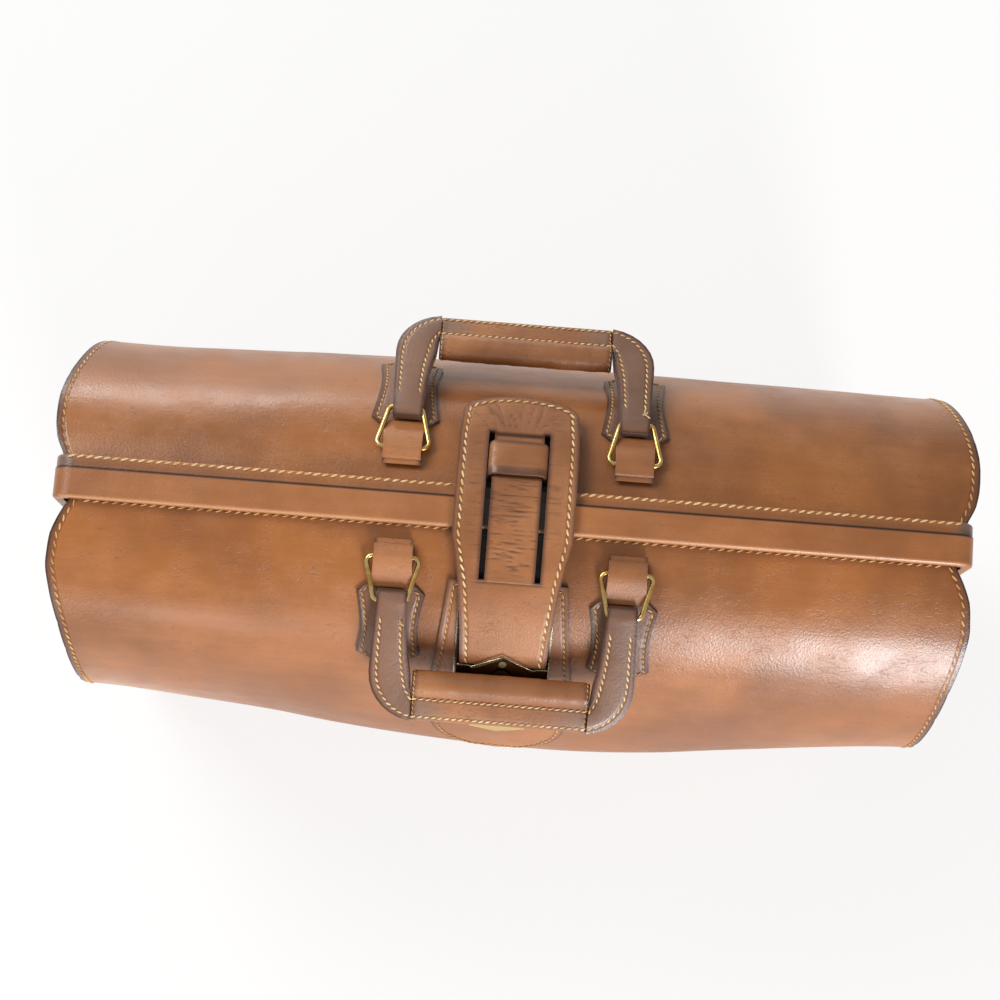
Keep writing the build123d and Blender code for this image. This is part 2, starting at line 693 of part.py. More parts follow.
KEEPER_OUTER = SLIT_X + KEEPER_LEG / 2
KEEPER_FOOT = 9.0
with BuildPart() as strap_keeper:
    add(curved_sheet(*KEEPER_BRIDGE, *KEEPER, -KEEPER_OUTER, KEEPER_OUTER))
    for end in ENDS.values():
        leg = sorted((end * KEEPER_OUTER, end * (KEEPER_OUTER - KEEPER_LEG)))
        foot = sorted((end * (KEEPER_OUTER - KEEPER_LEG), end * (KEEPER_OUTER + KEEPER_FOOT)))
        add(curved_sheet(SHOULDER, KEEPER_BRIDGE[0], *KEEPER, *leg))
        add(curved_sheet(SHOULDER, SHOULDER + KEEPER_LEG, *KEEPER, *foot))
keep(strap_keeper, "strap_keeper")

# Lock side of the strap: the flap's leather, a brass end cap, the hasp plate and its rivets.
FLAP_CENTRE = (CREASE + FLAP_END) / 2
FLAP_WAIST = (22.8, 36.0)
FLAP_HALF = 22.0
RIVET_PLACES = [(0.0, 45.6), (-9.5, 58.0), (9.5, 58.0)]
RIVET_HEAD_TOP = HASP_OUTER + RIVET_HEAD_RISE

with BuildPart() as hasp_rivets:
    for x, lean in RIVET_PLACES:
        add(pin_through(x, lean, RIVET, CAP_INNER + CLEARANCE, RIVET_HEAD_TOP))
        add(pin_through(x, lean, RIVET_HEAD, HASP_OUTER, RIVET_HEAD_TOP))
keep(hasp_rivets, "hasp_rivets")

key_bore = pin_through(0, KEY_LEAN, KEY_RADIUS + RUNNING_FIT, SHOULDER, KEY_TOP)

with BuildPart() as strap_flap:
    add(curved_sheet(STRAP_INNER, STRAP_OUTER, CREASE + CREASE_GAP, FLAP_END, -CREASE_HALF, CREASE_HALF))
    with BuildSketch(facing(FLAP_CENTRE)):
        with BuildLine():
            right = [
                strap_spot(CREASE_HALF, CREASE, FLAP_CENTRE),
                strap_spot(*FLAP_WAIST, FLAP_CENTRE),
                strap_spot(FLAP_HALF, FLAP_END + 1, FLAP_CENTRE),
            ]
            left = [(-x, y) for x, y in reversed(right)]
            Polyline(*right, *left, close=True)
        make_face()
    extrude(amount=2 * SHOULDER, mode=Mode.INTERSECT)
    add(hasp_rivets.part, mode=Mode.SUBTRACT)
    add(key_bore, mode=Mode.SUBTRACT)
keep(strap_flap, "strap_flap")

CAP_END = FLAP_END + CAP_FOLD
with BuildPart() as strap_end_cap:
    add(curved_sheet(CAP_INNER, CAP_OUTER, CAP_FROM, CAP_END, -CAP_HALF, CAP_HALF))
    add(
        curved_sheet(STRAP_INNER, STRAP_OUTER, CAP_FROM - 1, FLAP_END, -CAP_HALF, CAP_HALF),
        mode=Mode.SUBTRACT,
    )
    add(hasp_rivets.part, mode=Mode.SUBTRACT)
    add(key_bore, mode=Mode.SUBTRACT)
keep(strap_end_cap, "strap_end_cap")

HASP_CENTRE = (HASP_APEX + HASP_TIP) / 2
HASP_SHOULDER = 47.6
HASP_TIP_HALF = 14.0
HASP_TIP_SHOULDER = 78.5
with BuildPart() as hasp_plate:
    add(curved_sheet(CAP_OUTER, HASP_OUTER, HASP_APEX, HASP_TIP, -HASP_HALF, HASP_HALF))
    add(curved_sheet(STRAP_OUTER, HASP_OUTER, HASP_APEX, CAP_FROM, -HASP_HALF, HASP_HALF))
    with BuildSketch(facing(HASP_CENTRE)):
        with BuildLine():
            right = [
                strap_spot(HASP_HALF, HASP_SHOULDER, HASP_CENTRE),
                strap_spot(HASP_TIP_HALF, HASP_TIP_SHOULDER, HASP_CENTRE),
            ]
            left = [(-x, y) for x, y in reversed(right)]
            apex = strap_spot(0, HASP_APEX, HASP_CENTRE)
            tip = strap_spot(0, HASP_TIP, HASP_CENTRE)
            Polyline(apex, *right, tip, *left, close=True)
        make_face()
    extrude(amount=2 * SHOULDER, mode=Mode.INTERSECT)
    add(hasp_rivets.part, mode=Mode.SUBTRACT)
    add(key_bore, mode=Mode.SUBTRACT)
keep(hasp_plate, "hasp_plate")

with BuildPart() as lock_barrel:
    add(pin_through(0, KEY_LEAN, KEY_RADIUS, CAM[0], KEY_TOP))
    add(pin_through(0, KEY_LEAN, KEY_HEAD, HASP_OUTER + CLEARANCE, KEY_TOP))
    with BuildSketch(facing(KEY_LEAN).offset(CAM[0])):
        with Locations((0, -CAM_REACH / 2)):
            Rectangle(2 * CAM_HALF, CAM_REACH)
    extrude(amount=CAM[1] - CAM[0])
    with BuildSketch(facing(KEY_LEAN).offset(KEY_TOP)):
        SlotOverall(KEY_SLOT[0], KEY_SLOT[1], rotation=90)
    extrude(amount=-KEY_SLOT[2], mode=Mode.SUBTRACT)
keep(lock_barrel, "lock_barrel")

# Lock side of the front jaw: a stitched patch, the lock plate let into it, and the strike.
PATCH_SPAN = (22.0, 88.0)
LOCK_PATCH_TOP_HALF = 28.0
LOCK_PATCH_WIDE = (34.0, 60.0)
LOCK_PATCH_LOW = (33.0, 74.0)
LOCK_PATCH_CENTRE = 55.0
with BuildPart() as lock_plate:
    add(curved_sheet(*LOCK_PLATE, *LOCK_PLATE_SPAN, -LOCK_PLATE_HALF, LOCK_PLATE_HALF))
    add(lock_rivets.part, mode=Mode.SUBTRACT)
keep(lock_plate, "lock_plate")

with BuildPart() as lock_strike:
    add(curved_sheet(*STRIKE_LIP, *STRIKE_SPAN, *STRIKE_X))
    add(curved_sheet(LOCK_PLATE[1], STRIKE_LIP[1], *STRIKE_SPAN, STRIKE_X[1] - STRIKE_POST, STRIKE_X[1]))
keep(lock_strike, "lock_strike")

BLANK_STATIONS = [share * (LOCK_PATCH_WIDE[0] + 1) for share in (-1, 0, 1)]
BLANK_DEPTHS = (SHOULDER - LEATHER / 2, SHOULDER + LOCK_PATCH)
lock_patch_blank = swollen_sheet(*BLANK_DEPTHS, PATCH_SPAN[0], SHOULDER_END, BLANK_STATIONS, SHOULDER_SWELL)
with BuildPart() as lock_patch:
    add(lock_patch_blank)
    add(front_shoulder.part, mode=Mode.SUBTRACT)
    with BuildSketch(facing(LOCK_PATCH_CENTRE)):
        with BuildLine():
            top = spot(LOCK_PATCH_TOP_HALF, PATCH_SPAN[0], LOCK_PATCH_CENTRE)
            side_point = spot(*LOCK_PATCH_WIDE, LOCK_PATCH_CENTRE)
            low = spot(*LOCK_PATCH_LOW, LOCK_PATCH_CENTRE)
            foot = spot(0, PATCH_SPAN[1], LOCK_PATCH_CENTRE)
            Polyline((0, top[1]), top, side_point, low)
            Spline(low, foot, tangents=[(0, -1), (-1, 0)])
            Line(foot, (0, top[1]))
        make_face()
        mirror(about=Plane.YZ)
    extrude(amount=2 * SHOULDER, mode=Mode.INTERSECT)
    add(lock_plate.part, mode=Mode.SUBTRACT)
    add(lock_rivets.part, mode=Mode.SUBTRACT)
keep(lock_patch, "lock_patch")
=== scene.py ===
# %% [markdown]
# A soft leather brief bag whose mouth is two steel hoops covered in leather. The CAD model of it is
# already there as a frame: steel, brass, rings and rivets keep their solids and only get a finish.
# Everything that is leather or cloth on the real bag is made here as a thin sheet with rolled edges,
# stitches of thread and a hide with grain, because a solid block never looks like a sewn hide.

# %% The frame and the tools
import functools
import json
import math
import random

import bmesh
import bpy
from mathutils import Matrix, Vector, noise
from mathutils.kdtree import KDTree


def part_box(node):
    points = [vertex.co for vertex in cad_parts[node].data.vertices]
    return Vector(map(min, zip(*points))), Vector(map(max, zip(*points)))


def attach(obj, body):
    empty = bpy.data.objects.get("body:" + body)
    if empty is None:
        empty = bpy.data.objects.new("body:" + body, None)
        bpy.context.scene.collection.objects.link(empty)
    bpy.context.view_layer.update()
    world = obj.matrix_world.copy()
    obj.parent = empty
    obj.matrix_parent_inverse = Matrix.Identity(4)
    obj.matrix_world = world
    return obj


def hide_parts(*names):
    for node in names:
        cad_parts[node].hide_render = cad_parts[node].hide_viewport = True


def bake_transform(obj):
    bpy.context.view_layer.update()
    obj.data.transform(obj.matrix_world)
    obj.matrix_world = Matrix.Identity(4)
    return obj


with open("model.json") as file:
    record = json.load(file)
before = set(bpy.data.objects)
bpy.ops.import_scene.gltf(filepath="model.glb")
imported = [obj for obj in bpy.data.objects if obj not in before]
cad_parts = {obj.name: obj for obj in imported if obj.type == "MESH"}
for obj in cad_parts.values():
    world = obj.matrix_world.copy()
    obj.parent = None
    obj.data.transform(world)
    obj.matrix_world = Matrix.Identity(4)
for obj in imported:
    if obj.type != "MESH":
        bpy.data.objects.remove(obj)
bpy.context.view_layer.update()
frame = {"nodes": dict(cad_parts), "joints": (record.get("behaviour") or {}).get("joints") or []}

nodes = frame["nodes"]
joints = {joint["name"]: joint for joint in frame["joints"]}

# %% [markdown]
# Both halves of the mouth turn about one line through the hinge pins, and all the leather near it
# curves about that same line. So a place on the bag is easiest to say as a lean away from upright
# and a radius from that line. Sizes are in millimetres here and become metres in one place.

# %% Places on the bag
MM = 0.001
HINGE = Vector(joints["front_jaw_hinge"]["pos_m"])
HINGE_HEIGHT = HINGE.z / MM
FRONT, BACK = 1, -1
SIDES = {"front": FRONT, "back": BACK}
ENDS = {"left": -1, "right": 1}
QUARTERS = [(side_name, side, end_name, end) for side_name, side in SIDES.items() for end_name, end in ENDS.items()]
SHOULDER = 92.0            # radius of the shoulder's outer face
HIDE = 2.8                 # thickness of the panels


def at(x, y, z):
    """A point from its three measures."""
    return Vector((x * MM, y * MM, z * MM))


def polar(x, lean, radius):
    """A point at a lean (degrees, positive to the front) and a radius from the hinge line."""
    angle = math.radians(lean)
    return Vector((x * MM, -radius * MM * math.sin(angle), HINGE.z + radius * MM * math.cos(angle)))


def smooth(low, high, value):
    """0 below low, 1 above high, and an even S between them."""
    share = min(1.0, max(0.0, (value - low) / (high - low)))
    return share * share * (3 - 2 * share)


def read_off(table, value):
    """Read a value off a short table of pairs, in a straight line from each pair to the next."""
    if value <= table[0][0]:
        return table[0][1]
    for (low, start), (high, end) in zip(table, table[1:]):
        if value <= high:
            return start + (end - start) * (value - low) / (high - low)
    return table[-1][1]


def spread(start, end, step):
    """Evenly spaced values from start to end, about a step apart."""
    count = max(1, round(abs(end - start) / step))
    return [start + (end - start) * i / count for i in range(count + 1)]


print("the hinge line is", HINGE_HEIGHT, "mm up")

# %% [markdown]
# The camera looks down on the bag from a little in front of it. Its place, turn and focal length
# were worked out from the frame's corners, the rings and the outlines of the shoulders.

# %% Camera
CAMERA_TURN = (10.46, -1.05, 4.29)         # degrees

camera_data = bpy.data.cameras.new("camera")
camera = bpy.data.objects.new("camera", camera_data)
bpy.context.scene.collection.objects.link(camera)
bpy.context.scene.camera = camera
camera.location = (-0.012, -0.187, 1.33)
camera.rotation_euler = [math.radians(angle) for angle in CAMERA_TURN]
camera_data.sensor_width = 36.0
camera_data.lens = 77.6
print("the camera stands", round(camera.location.z, 3), "m up")

# %% [markdown]
# Plain soft studio light: a pale room all round, a broad lamp behind the bag on its left, a tall
# window in front on its right that gives the waxed leather its soft shine, a small one beside it, and
# a low strip of light behind. Room and floor are white to the camera, and the floor keeps the shadow.

# %% Colours and nodes
scene = bpy.context.scene
scene.view_settings.view_transform = "Standard"
WHITE = (1.0, 1.0, 1.0, 1.0)


def linear(code):
    """An sRGB hex colour as linear red, green, blue and alpha."""
    parts = [int(code[i:i + 2], 16) / 255 for i in (1, 3, 5)]
    return tuple(c / 12.92 if c <= 0.04045 else ((c + 0.055) / 1.055) ** 2.4 for c in parts) + (1.0,)


def add_node(tree, kind, sockets=(), **settings):
    """One shader node: settings are its properties, sockets its values in order, or by name.

    A value that is an output is linked, and a node stands for its first output that is in use."""
    node = tree.nodes.new("ShaderNode" + kind)
    for name, value in settings.items():
        setattr(node, name, value)
    if not isinstance(sockets, dict):
        sockets = dict(zip([i for i, socket in enumerate(node.inputs) if socket.enabled], sockets))
    for name, value in sockets.items():
        if isinstance(value, bpy.types.Node):
            value = next(output for output in value.outputs if output.enabled)
        if isinstance(value, bpy.types.NodeSocket):
            tree.links.new(value, node.inputs[name])
        else:
            node.inputs[name].default_value = value
    return node


def new_material(name):
    """An empty material, and the function that adds nodes to it."""
    made = bpy.data.materials.new(name)
    made.use_nodes = True
    made.node_tree.nodes.clear()
    return made, functools.partial(add_node, made.node_tree)


# %% Room and lamps
ROOM_TINT = (1.0, 0.985, 0.96, 1.0)
ROOM_STRENGTH = 0.39

world = bpy.data.worlds.new("pale_room")
scene.world = world
world.use_nodes = True
world.node_tree.nodes.clear()
node = functools.partial(add_node, world.node_tree)
fill = node("Background", [ROOM_TINT, ROOM_STRENGTH])
white = node("Background", [WHITE, 1.0])
node("OutputWorld", [node("MixShader", [node("LightPath").outputs["Is Camera Ray"], fill, white])])


def soft_lamp(name, place, target, size, watts, colour=WHITE[:3]):
    """A flat lamp that faces its target."""
    lamp = bpy.data.lights.new(name, "AREA")
    lamp.shape = "RECTANGLE"
    lamp.size, lamp.size_y = size
    lamp.energy = watts
    lamp.color = colour
    holder = bpy.data.objects.new(name, lamp)
    holder.location = place
    holder.rotation_euler = (Vector(target) - Vector(place)).to_track_quat("-Z", "Y").to_euler()
    scene.collection.objects.link(holder)


soft_lamp("key", (-1.2, 0.9, 1.6), (0, 0, 0.2), (1.0, 1.0), 28.0)
soft_lamp("window", (0.80, -2.3, 1.05), (0.12, 0, 0.25), (0.65, 1.2), 62.0, (1.0, 0.97, 0.98))
soft_lamp("small_window", (-0.6, -2.4, 0.6), (-0.15, 0, 0.25), (0.5, 0.5), 5.0)
soft_lamp("far_window", (-0.75, 2.4, 0.5), (0, 0, 0.25), (0.9, 0.3), 13.0)
print("lamps:", [lamp.name for lamp in bpy.data.lights])

# %% Floor
FLOOR_GLOW = 0.76          # how much of the floor's white the camera gets whatever light falls on it

floor_mesh = bpy.data.meshes.new("floor")
bm = bmesh.new()
bmesh.ops.create_grid(bm, x_segments=1, y_segments=1, size=6)
bm.to_mesh(floor_mesh)
bm.free()
floor = bpy.data.objects.new("floor", floor_mesh)
scene.collection.objects.link(floor)
paint, node = new_material("matt_white_floor")
cover = node("BsdfPrincipled", {"Base Color": linear("#f2f1ef"), "Roughness": 0.9})
share = node("Math", [node("LightPath").outputs["Is Camera Ray"], FLOOR_GLOW], operation="MULTIPLY")
node("OutputMaterial", [node("MixShader", [share, cover, node("Emission", [WHITE, 1.0])])])
floor_mesh.materials.append(paint)

# %% [markdown]
# The hide is vegetable tanned cowhide, dyed tan right through and waxed. Its colour drifts over a
# hand's width, runs in faint streaks along the bag and is darkened by hands. Fine creases catch the
# light and are painted darker as shade, cut edges are burnished nearly black, and the leather sinks
# a little under each seam, with painted shade in the groove. Each sheet carries its own map in
# metres, and two attributes: how far a point is from the cut edge and from the nearest seam. So the
# edge wear and the painted seam shade follow the sewing, also when the bag opens.

# %% Sizes of the leather's patterns, in mm, and its colours
GRAIN = 1.0                # pebble of the grain, drawn coarser than the real 0.4 mm so that it shows
SCUFF = 2.6                # light scratches
CREASE = 3.4               # fine creases
STREAK = 7.0
BLOTCH = 19.0
HAZE_PATCH = 70.0          # where the wax has gone dull
DRIFT = 95.0
BURNISHED = "#38231a"      # cut edges
# worn colour beside the cut edges; also painted shade in creases and in the grooves beside seams
WORN_EDGE_AND_GROOVE_SHADE = "#643c26"         # beside them, and in creases and seams
# painted shade along the strap's creases and folds
FOLD_SHADE = "#51301e"
TAUPE = "#7c6353"          # greyed by hands
HAZE = "#b98c6c"
SCUFFED = "#b98a66"
# painted shadow on the leather under the closing strap
STRAP_SHADOW = "#1f140e"
BARE_END = "#6b5d56"       # the cover's ends, worn nearly to the steel
LIT_EDGE = "#cf9f78"
SEAM_SIDE = 1.6            # how far a stitch presses the leather down beside it
STRAP_EDGE = (0.0235, 0.0275)      # where the strap's shade ends on each side, in metres
EASED = {"interpolation_type": "SMOOTHSTEP"}
COLOURS = {"data_type": "RGBA"}
TIMES, PLUS, LESS, SIZE_OF = ({"operation": name} for name in ("MULTIPLY", "ADD", "SUBTRACT", "ABSOLUTE"))


# %% Painted shadow under the strap, and marks on the frame's cover
def strap_shadow_and_cover_marks(node, where, on_frame):
    """Painted shadow under the strap, and on the frame's cover its worn ends, the dark joint of the
    hoops and a painted highlight along its front edge: (share, colour) pairs.
    """
    place = node("SeparateXYZ", [where])
    x, y, z = place.outputs
    off_centre = node("Math", [x], **SIZE_OF)
    in_width = node("MapRange", [off_centre, *STRAP_EDGE, 1.0, 0.0], **EASED)
    in_length = node("MapRange", [y, 0.034, 0.042, 1.0, 0.0], **EASED)
    shades = [(node("Math", [node("Math", [in_width, in_length], **TIMES), 0.95], **TIMES), STRAP_SHADOW)]
    if on_frame:
        at_end = node("MapRange", [off_centre, 0.2125, 0.2195], **EASED)
        worn_end = node("Math", [at_end, node("MapRange", [y, 0.0025, 0.0055], **EASED)], **TIMES)
        off_joint = node("Math", [node("Math", [y, 0.00425], **LESS)], **SIZE_OF)
        in_front = node("MapRange", [y, -0.0108, -0.0088, 1.0, 0.0], **EASED)
        front_edge = node("Math", [in_front, node("MapRange", [z, 0.2994, 0.3008], **EASED)], **TIMES)
        shades += [(node("Math", [worn_end, 0.75], **TIMES), BARE_END),
                   (node("MapRange", [off_joint, 0.0004, 0.0012, 0.92, 0.0], **EASED), BURNISHED),
                   (node("Math", [front_edge, 0.55], **TIMES), LIT_EDGE)]
    return shades


# %% Leather
def hide_leather(name, light, dark, handled=0.0, shine=0.38, creases=1.0, own_map=True, rub=4.2, rubbed=0.7,
                 covered=False):
    """Tanned hide from its lightest and darkest colour; handled is how far hands have greyed it."""
    made, node = new_material(name)
    where = node("TexCoord").outputs["UV" if own_map else "Object"]
    drift = node("TexNoise", {"Vector": where, "Scale": 1000 / DRIFT, "Detail": 3.0, "Roughness": 0.55})
    blotch = node("TexNoise", {"Vector": where, "Scale": 1000 / BLOTCH, "Detail": 4.0, "Roughness": 0.6})
    along = node("Mapping", {"Vector": where, "Scale": (0.1, 1.0, 1.0)})
    streaks = node("TexNoise", {"Vector": along, "Scale": 1000 / STREAK, "Detail": 6.0, "Roughness": 0.7})

    lean = node("Mapping", {"Vector": where, "Scale": (0.36, 1.0, 1.0), "Rotation": (0.0, 0.0, 0.1)})
    wavy = node("TexNoise", {"Vector": lean, "Scale": 1000 / CREASE, "Detail": 2.5, "Roughness": 0.5,
                             "Distortion": 0.5})
    off_middle = node("Math", [node("Math", [wavy, 0.5], **LESS)], **SIZE_OF)
    crease_line = node("Math", [node("MapRange", [off_middle, 0.0, 0.022, 1.0, 0.0], **EASED),
                                node("MapRange", [blotch, 0.44, 0.62], **EASED)], **TIMES)
    slanted = node("Mapping", {"Vector": where, "Scale": (0.2, 1.0, 1.0), "Rotation": (0.0, 0.0, 0.6)})
    scuffs = node("TexNoise", {"Vector": slanted, "Scale": 1000 / SCUFF, "Detail": 6.0, "Roughness": 0.72})
    scuff_line = node("Math", [node("MapRange", [scuffs, 0.64, 0.75], **EASED),
                               node("MapRange", [drift, 0.45, 0.65, 0.1, 0.5], **EASED)], **TIMES)
    moved = node("Mapping", {"Vector": where, "Location": (0.31, 0.12, 0.0)})
    hazy = node("TexNoise", {"Vector": moved, "Scale": 1000 / HAZE_PATCH, "Detail": 5.0, "Roughness": 0.6})
    haze = node("Math", [node("MapRange", [hazy, 0.48, 0.72, 0.0, 0.13], **EASED),
                         node("MapRange", [streaks, 0.3, 0.7, 0.75, 1.15], **EASED)], **TIMES)

    tone = node("Math", [node("MapRange", [streaks, 0.3, 0.7, 0.94, 1.05], **EASED),
                         node("MapRange", [blotch, 0.3, 0.7, 0.93, 1.06], **EASED)], **TIMES)
    dyed = node("Mix", [node("MapRange", [drift, 0.34, 0.66], **EASED), linear(dark), linear(light)], **COLOURS)
    colour = node("VectorMath", [dyed, tone], operation="SCALE")
    # the crease lines are painted darker as shade
    layers = [(node("Math", [crease_line, 0.4 * creases], **TIMES), WORN_EDGE_AND_GROOVE_SHADE), (scuff_line, SCUFFED), (haze, HAZE)]
    reliefs = [(crease_line, -0.18 * creases), (streaks, 0.22)]
    if handled:
        layers.append((node("MapRange", [blotch, 0.3, 0.7, handled * 0.7, handled], **EASED), TAUPE))
    if own_map:
        edge, grime, seam, fold = (node("Attribute", attribute_name=attribute).outputs["Fac"]
                                   for attribute in ("edge_mm", "grime", "seam_mm", "fold"))
        ragged = node("Math", [edge, node("Math", [blotch, 0.5], **LESS)], **PLUS)
        groove = node("MapRange", [seam, 0.35, SEAM_SIDE, 1.0, 0.0], **EASED)
        # hands grey the grime mark and the cut edges wear dark; the grooves beside seams and the strap's folds get
        # painted shade
        layers += [(node("Math", [grime, node("MapRange", [blotch, 0.3, 0.7, 0.6, 0.9], **EASED)], **TIMES), TAUPE),
                   (node("MapRange", [ragged, 0.35 * rub, rub, rubbed, 0.0], **EASED), WORN_EDGE_AND_GROOVE_SHADE),
                   (node("MapRange", [ragged, 0.35, 1.35, rubbed * 1.25, 0.0], **EASED), BURNISHED),
                   (node("Math", [groove, 0.5], **TIMES), WORN_EDGE_AND_GROOVE_SHADE), (node("Math", [fold, 0.85], **TIMES), FOLD_SHADE)]
        reliefs.append((groove, -0.35))
    # painted shadow under the strap; on the frame's cover also its worn ends, dark joint and a painted highlight on
    # the front edge
    if covered:
        layers += strap_shadow_and_cover_marks(node, where, not own_map)
    for share, tint in layers:
        colour = node("Mix", [share, colour, linear(tint)], **COLOURS)

    grain = node("TexVoronoi", {"Vector": where, "Scale": 1000 / GRAIN, "Randomness": 1.0}, feature="SMOOTH_F1")
    height = node("Math", [grain, 0.17], **TIMES)
    for relief, depth in reliefs:
        height = node("Math", [height, node("Math", [relief, depth], **TIMES)], **PLUS)
    bump = node("Bump", {"Height": height, "Strength": 0.45, "Distance": 0.001})
    rough = node("MapRange", [blotch, 0.3, 0.7, shine - 0.05, shine + 0.08], **EASED)
    skin = node("BsdfPrincipled", {"Base Color": colour, "Roughness": rough, "Normal": bump, "IOR": 1.5,
                                   "Coat Weight": 0.22, "Coat Roughness": 0.24})
    node("OutputMaterial", [skin])
    return made


# %% The bag's leathers
panel_hide = hide_leather("waxed_tan_hide", "#a36532", "#844f26", shine=0.33, rub=4.4, rubbed=0.85, covered=True)
strap_hide = hide_leather("tan_strap_hide", "#ad7041", "#8a5630", shine=0.42, rub=2.6, rubbed=0.45)
roll_hide = hide_leather("rubbed_roll_hide", "#b17647", "#8a5733", shine=0.4, creases=1.6)
handled_hide = hide_leather("handled_tan_hide", "#8a5b40", "#653f29", handled=0.5, shine=0.38, rub=2.4)
patch_hide = hide_leather("tan_patch_hide", "#845334", "#633c23", handled=0.2, rub=3.0)
gusset_hide = hide_leather("tan_gusset_hide", "#9a5f32", "#7a4522", creases=1.5)
cover_hide = hide_leather("tan_cover_hide", "#ab6c3a", "#935a30", creases=0.5, own_map=False, covered=True)
print("leathers:", [made.name for made in bpy.data.materials if "hide" in made.name])

# %% [markdown]
# The thread is waxed linen, cream when new and golden with age. A stitch is only a few millimetres
# long, so its finish is plain and its shape does the work. Brass is rubbed bright where it is touched
# and browned in its corners; on the hasp, the cap and the lock barrel it is painted nearly black above
# the tip, as the shade and dark reflection under the handle. The steel inside the frame has a dull
# zinc coat, and the lock's plate is steel too, blackened and polished. Board, suede and lining are
# dull and rough.


# %% Thread, brass, steel, board and cloth
def plain_finish(name, light, dark, patch, roughness, metallic=0.0, bump_depth=0.0, grit=0.5):
    """A finish of two colours in soft patches (mm across), with a fine bump of its own grit (mm)."""
    made, node = new_material(name)
    where = node("TexCoord").outputs["Object"]
    clouds = node("TexNoise", {"Vector": where, "Scale": 1000 / patch, "Detail": 4.0, "Roughness": 0.6})
    share = node("MapRange", [clouds, 0.35, 0.65], **EASED)
    specks = node("TexNoise", {"Vector": where, "Scale": 1000 / grit, "Detail": 3.0})
    skin = node("BsdfPrincipled", {
        "Base Color": node("Mix", [share, linear(dark), linear(light)], **COLOURS), "Metallic": metallic,
        "Roughness": node("MapRange", [clouds, 0.3, 0.7, roughness * 1.25, roughness * 0.8]),
        "Normal": node("Bump", {"Height": specks, "Strength": bump_depth, "Distance": 0.0004})})
    node("OutputMaterial", [skin])
    return made


linen_thread = plain_finish("waxed_linen_thread", "#efd09a", "#d6a665", 9.0, 0.6, bump_depth=0.4, grit=0.4)
aged_thread = plain_finish("aged_linen_thread", "#dcae68", "#b4824a", 12.0, 0.6, bump_depth=0.4, grit=0.4)
brass = plain_finish("rubbed_brass", "#f4dc9a", "#cfa658", 7.0, 0.27, metallic=1.0, bump_depth=0.05)
zinc_steel = plain_finish("dull_zinc_steel", "#a9a9a6", "#83827f", 12.0, 0.42, metallic=1.0, bump_depth=0.1)
dark_steel = plain_finish("blackened_polished_steel", "#2b2927", "#171614", 14.0, 0.2, metallic=1.0)
bright_nickel = plain_finish("rubbed_nickel", "#aaa28c", "#7a7260", 9.0, 0.28, metallic=1.0)
fibre_board = plain_finish("pressed_fibre_board", "#7a6148", "#5d4834", 6.0, 0.85, bump_depth=0.5, grit=1.0)
suede = plain_finish("brown_suede", "#8a6446", "#6d4c33", 14.0, 0.95, bump_depth=0.6, grit=0.8)
lining_cloth = plain_finish("brown_cotton_lining", "#7c6349", "#664f39", 20.0, 0.92, bump_depth=0.7, grit=0.7)

# %% Brass of the hasp, painted nearly black above its tip as shade and dark reflection under the handle
# plain brass at the tip; above it, painted shade and dark reflection
TIP_BRASS, BRASS_IN_PAINTED_SHADE = "#e6c877", "#26221c"
PAINTED_SHADE_HEIGHTS = (0.236, 0.25)       # heights in metres between which it turns black
hasp_brass_with_painted_shade, node = new_material("brass_with_painted_shade_above_the_tip")
where = node("TexCoord").outputs["Object"]
clouds = node("TexNoise", {"Vector": where, "Scale": 1000 / 6, "Detail": 4.0})
height = node("SeparateXYZ", [where]).outputs["Z"]
# nearly black above these heights: painted shade and dark reflection under the handle's roll
black = node("MapRange", [height, *PAINTED_SHADE_HEIGHTS, 0.0, 0.92], **EASED)
colour = node("Mix", [black, linear(TIP_BRASS), linear(BRASS_IN_PAINTED_SHADE)], **COLOURS)
rough = node("MapRange", [clouds, 0.3, 0.7, 0.24, 0.14])
node("OutputMaterial", [node("BsdfPrincipled", {"Base Color": colour, "Metallic": 1.0, "Roughness": rough})])
print("plain finishes are ready")

# %% [markdown]
# One helper makes every piece of leather. It starts from a flat grid, each corner of the grid is
# moved to its place on the bag, the grid is thickened, and its cut edges are rolled with a bevel.
# A place function says where a point of the sheet lies for its two measures and its height above
# the outer face, so the same function later sets the stitches on the leather.

# %% Finished meshes and their marks
RIM = 0.5
FAR = 20.0                 # marks say no more than that a point is this far away, in mm


def link_mesh(name, bm, materials):
    """A finished mesh object at the origin."""
    mesh = bpy.data.meshes.new(name)
    bm.to_mesh(mesh)
    bm.free()
    for face in mesh.polygons:
        face.use_smooth = True
    piece = bpy.data.objects.new(name, mesh)
    scene.collection.objects.link(piece)
    for material in materials:
        mesh.materials.append(material)
    return piece


def mark_points(piece, attribute, value_at):
    """Write a number at each point of a piece, for its material to read."""
    mark = piece.data.attributes.get(attribute) or piece.data.attributes.new(attribute, "FLOAT", "POINT")
    for index, vertex in enumerate(piece.data.vertices):
        mark.data[index].value = value_at(vertex.co)


def mark_distances(piece, attribute, points):
    """Write how far each point of a piece is from some places, in mm."""
    tree = KDTree(len(points))
    for index, point in enumerate(points):
        tree.insert(point, index)
    tree.balance()
    mark_points(piece, attribute, lambda spot: min(FAR, tree.find(spot)[2] / MM) if points else FAR)


def link_hide(name, bm, materials, chart, edge_points):
    """A finished piece of hide, with its flat map and how far its points are from the cut edge."""
    hide_map = bm.loops.layers.uv.new("hide")
    for face in bm.faces:
        for loop in face.loops:
            loop[hide_map].uv = chart(loop.vert)
    piece = link_mesh(name, bm, materials)
    mark_distances(piece, "edge_mm", edge_points)
    mark_distances(piece, "seam_mm", [])
    return piece


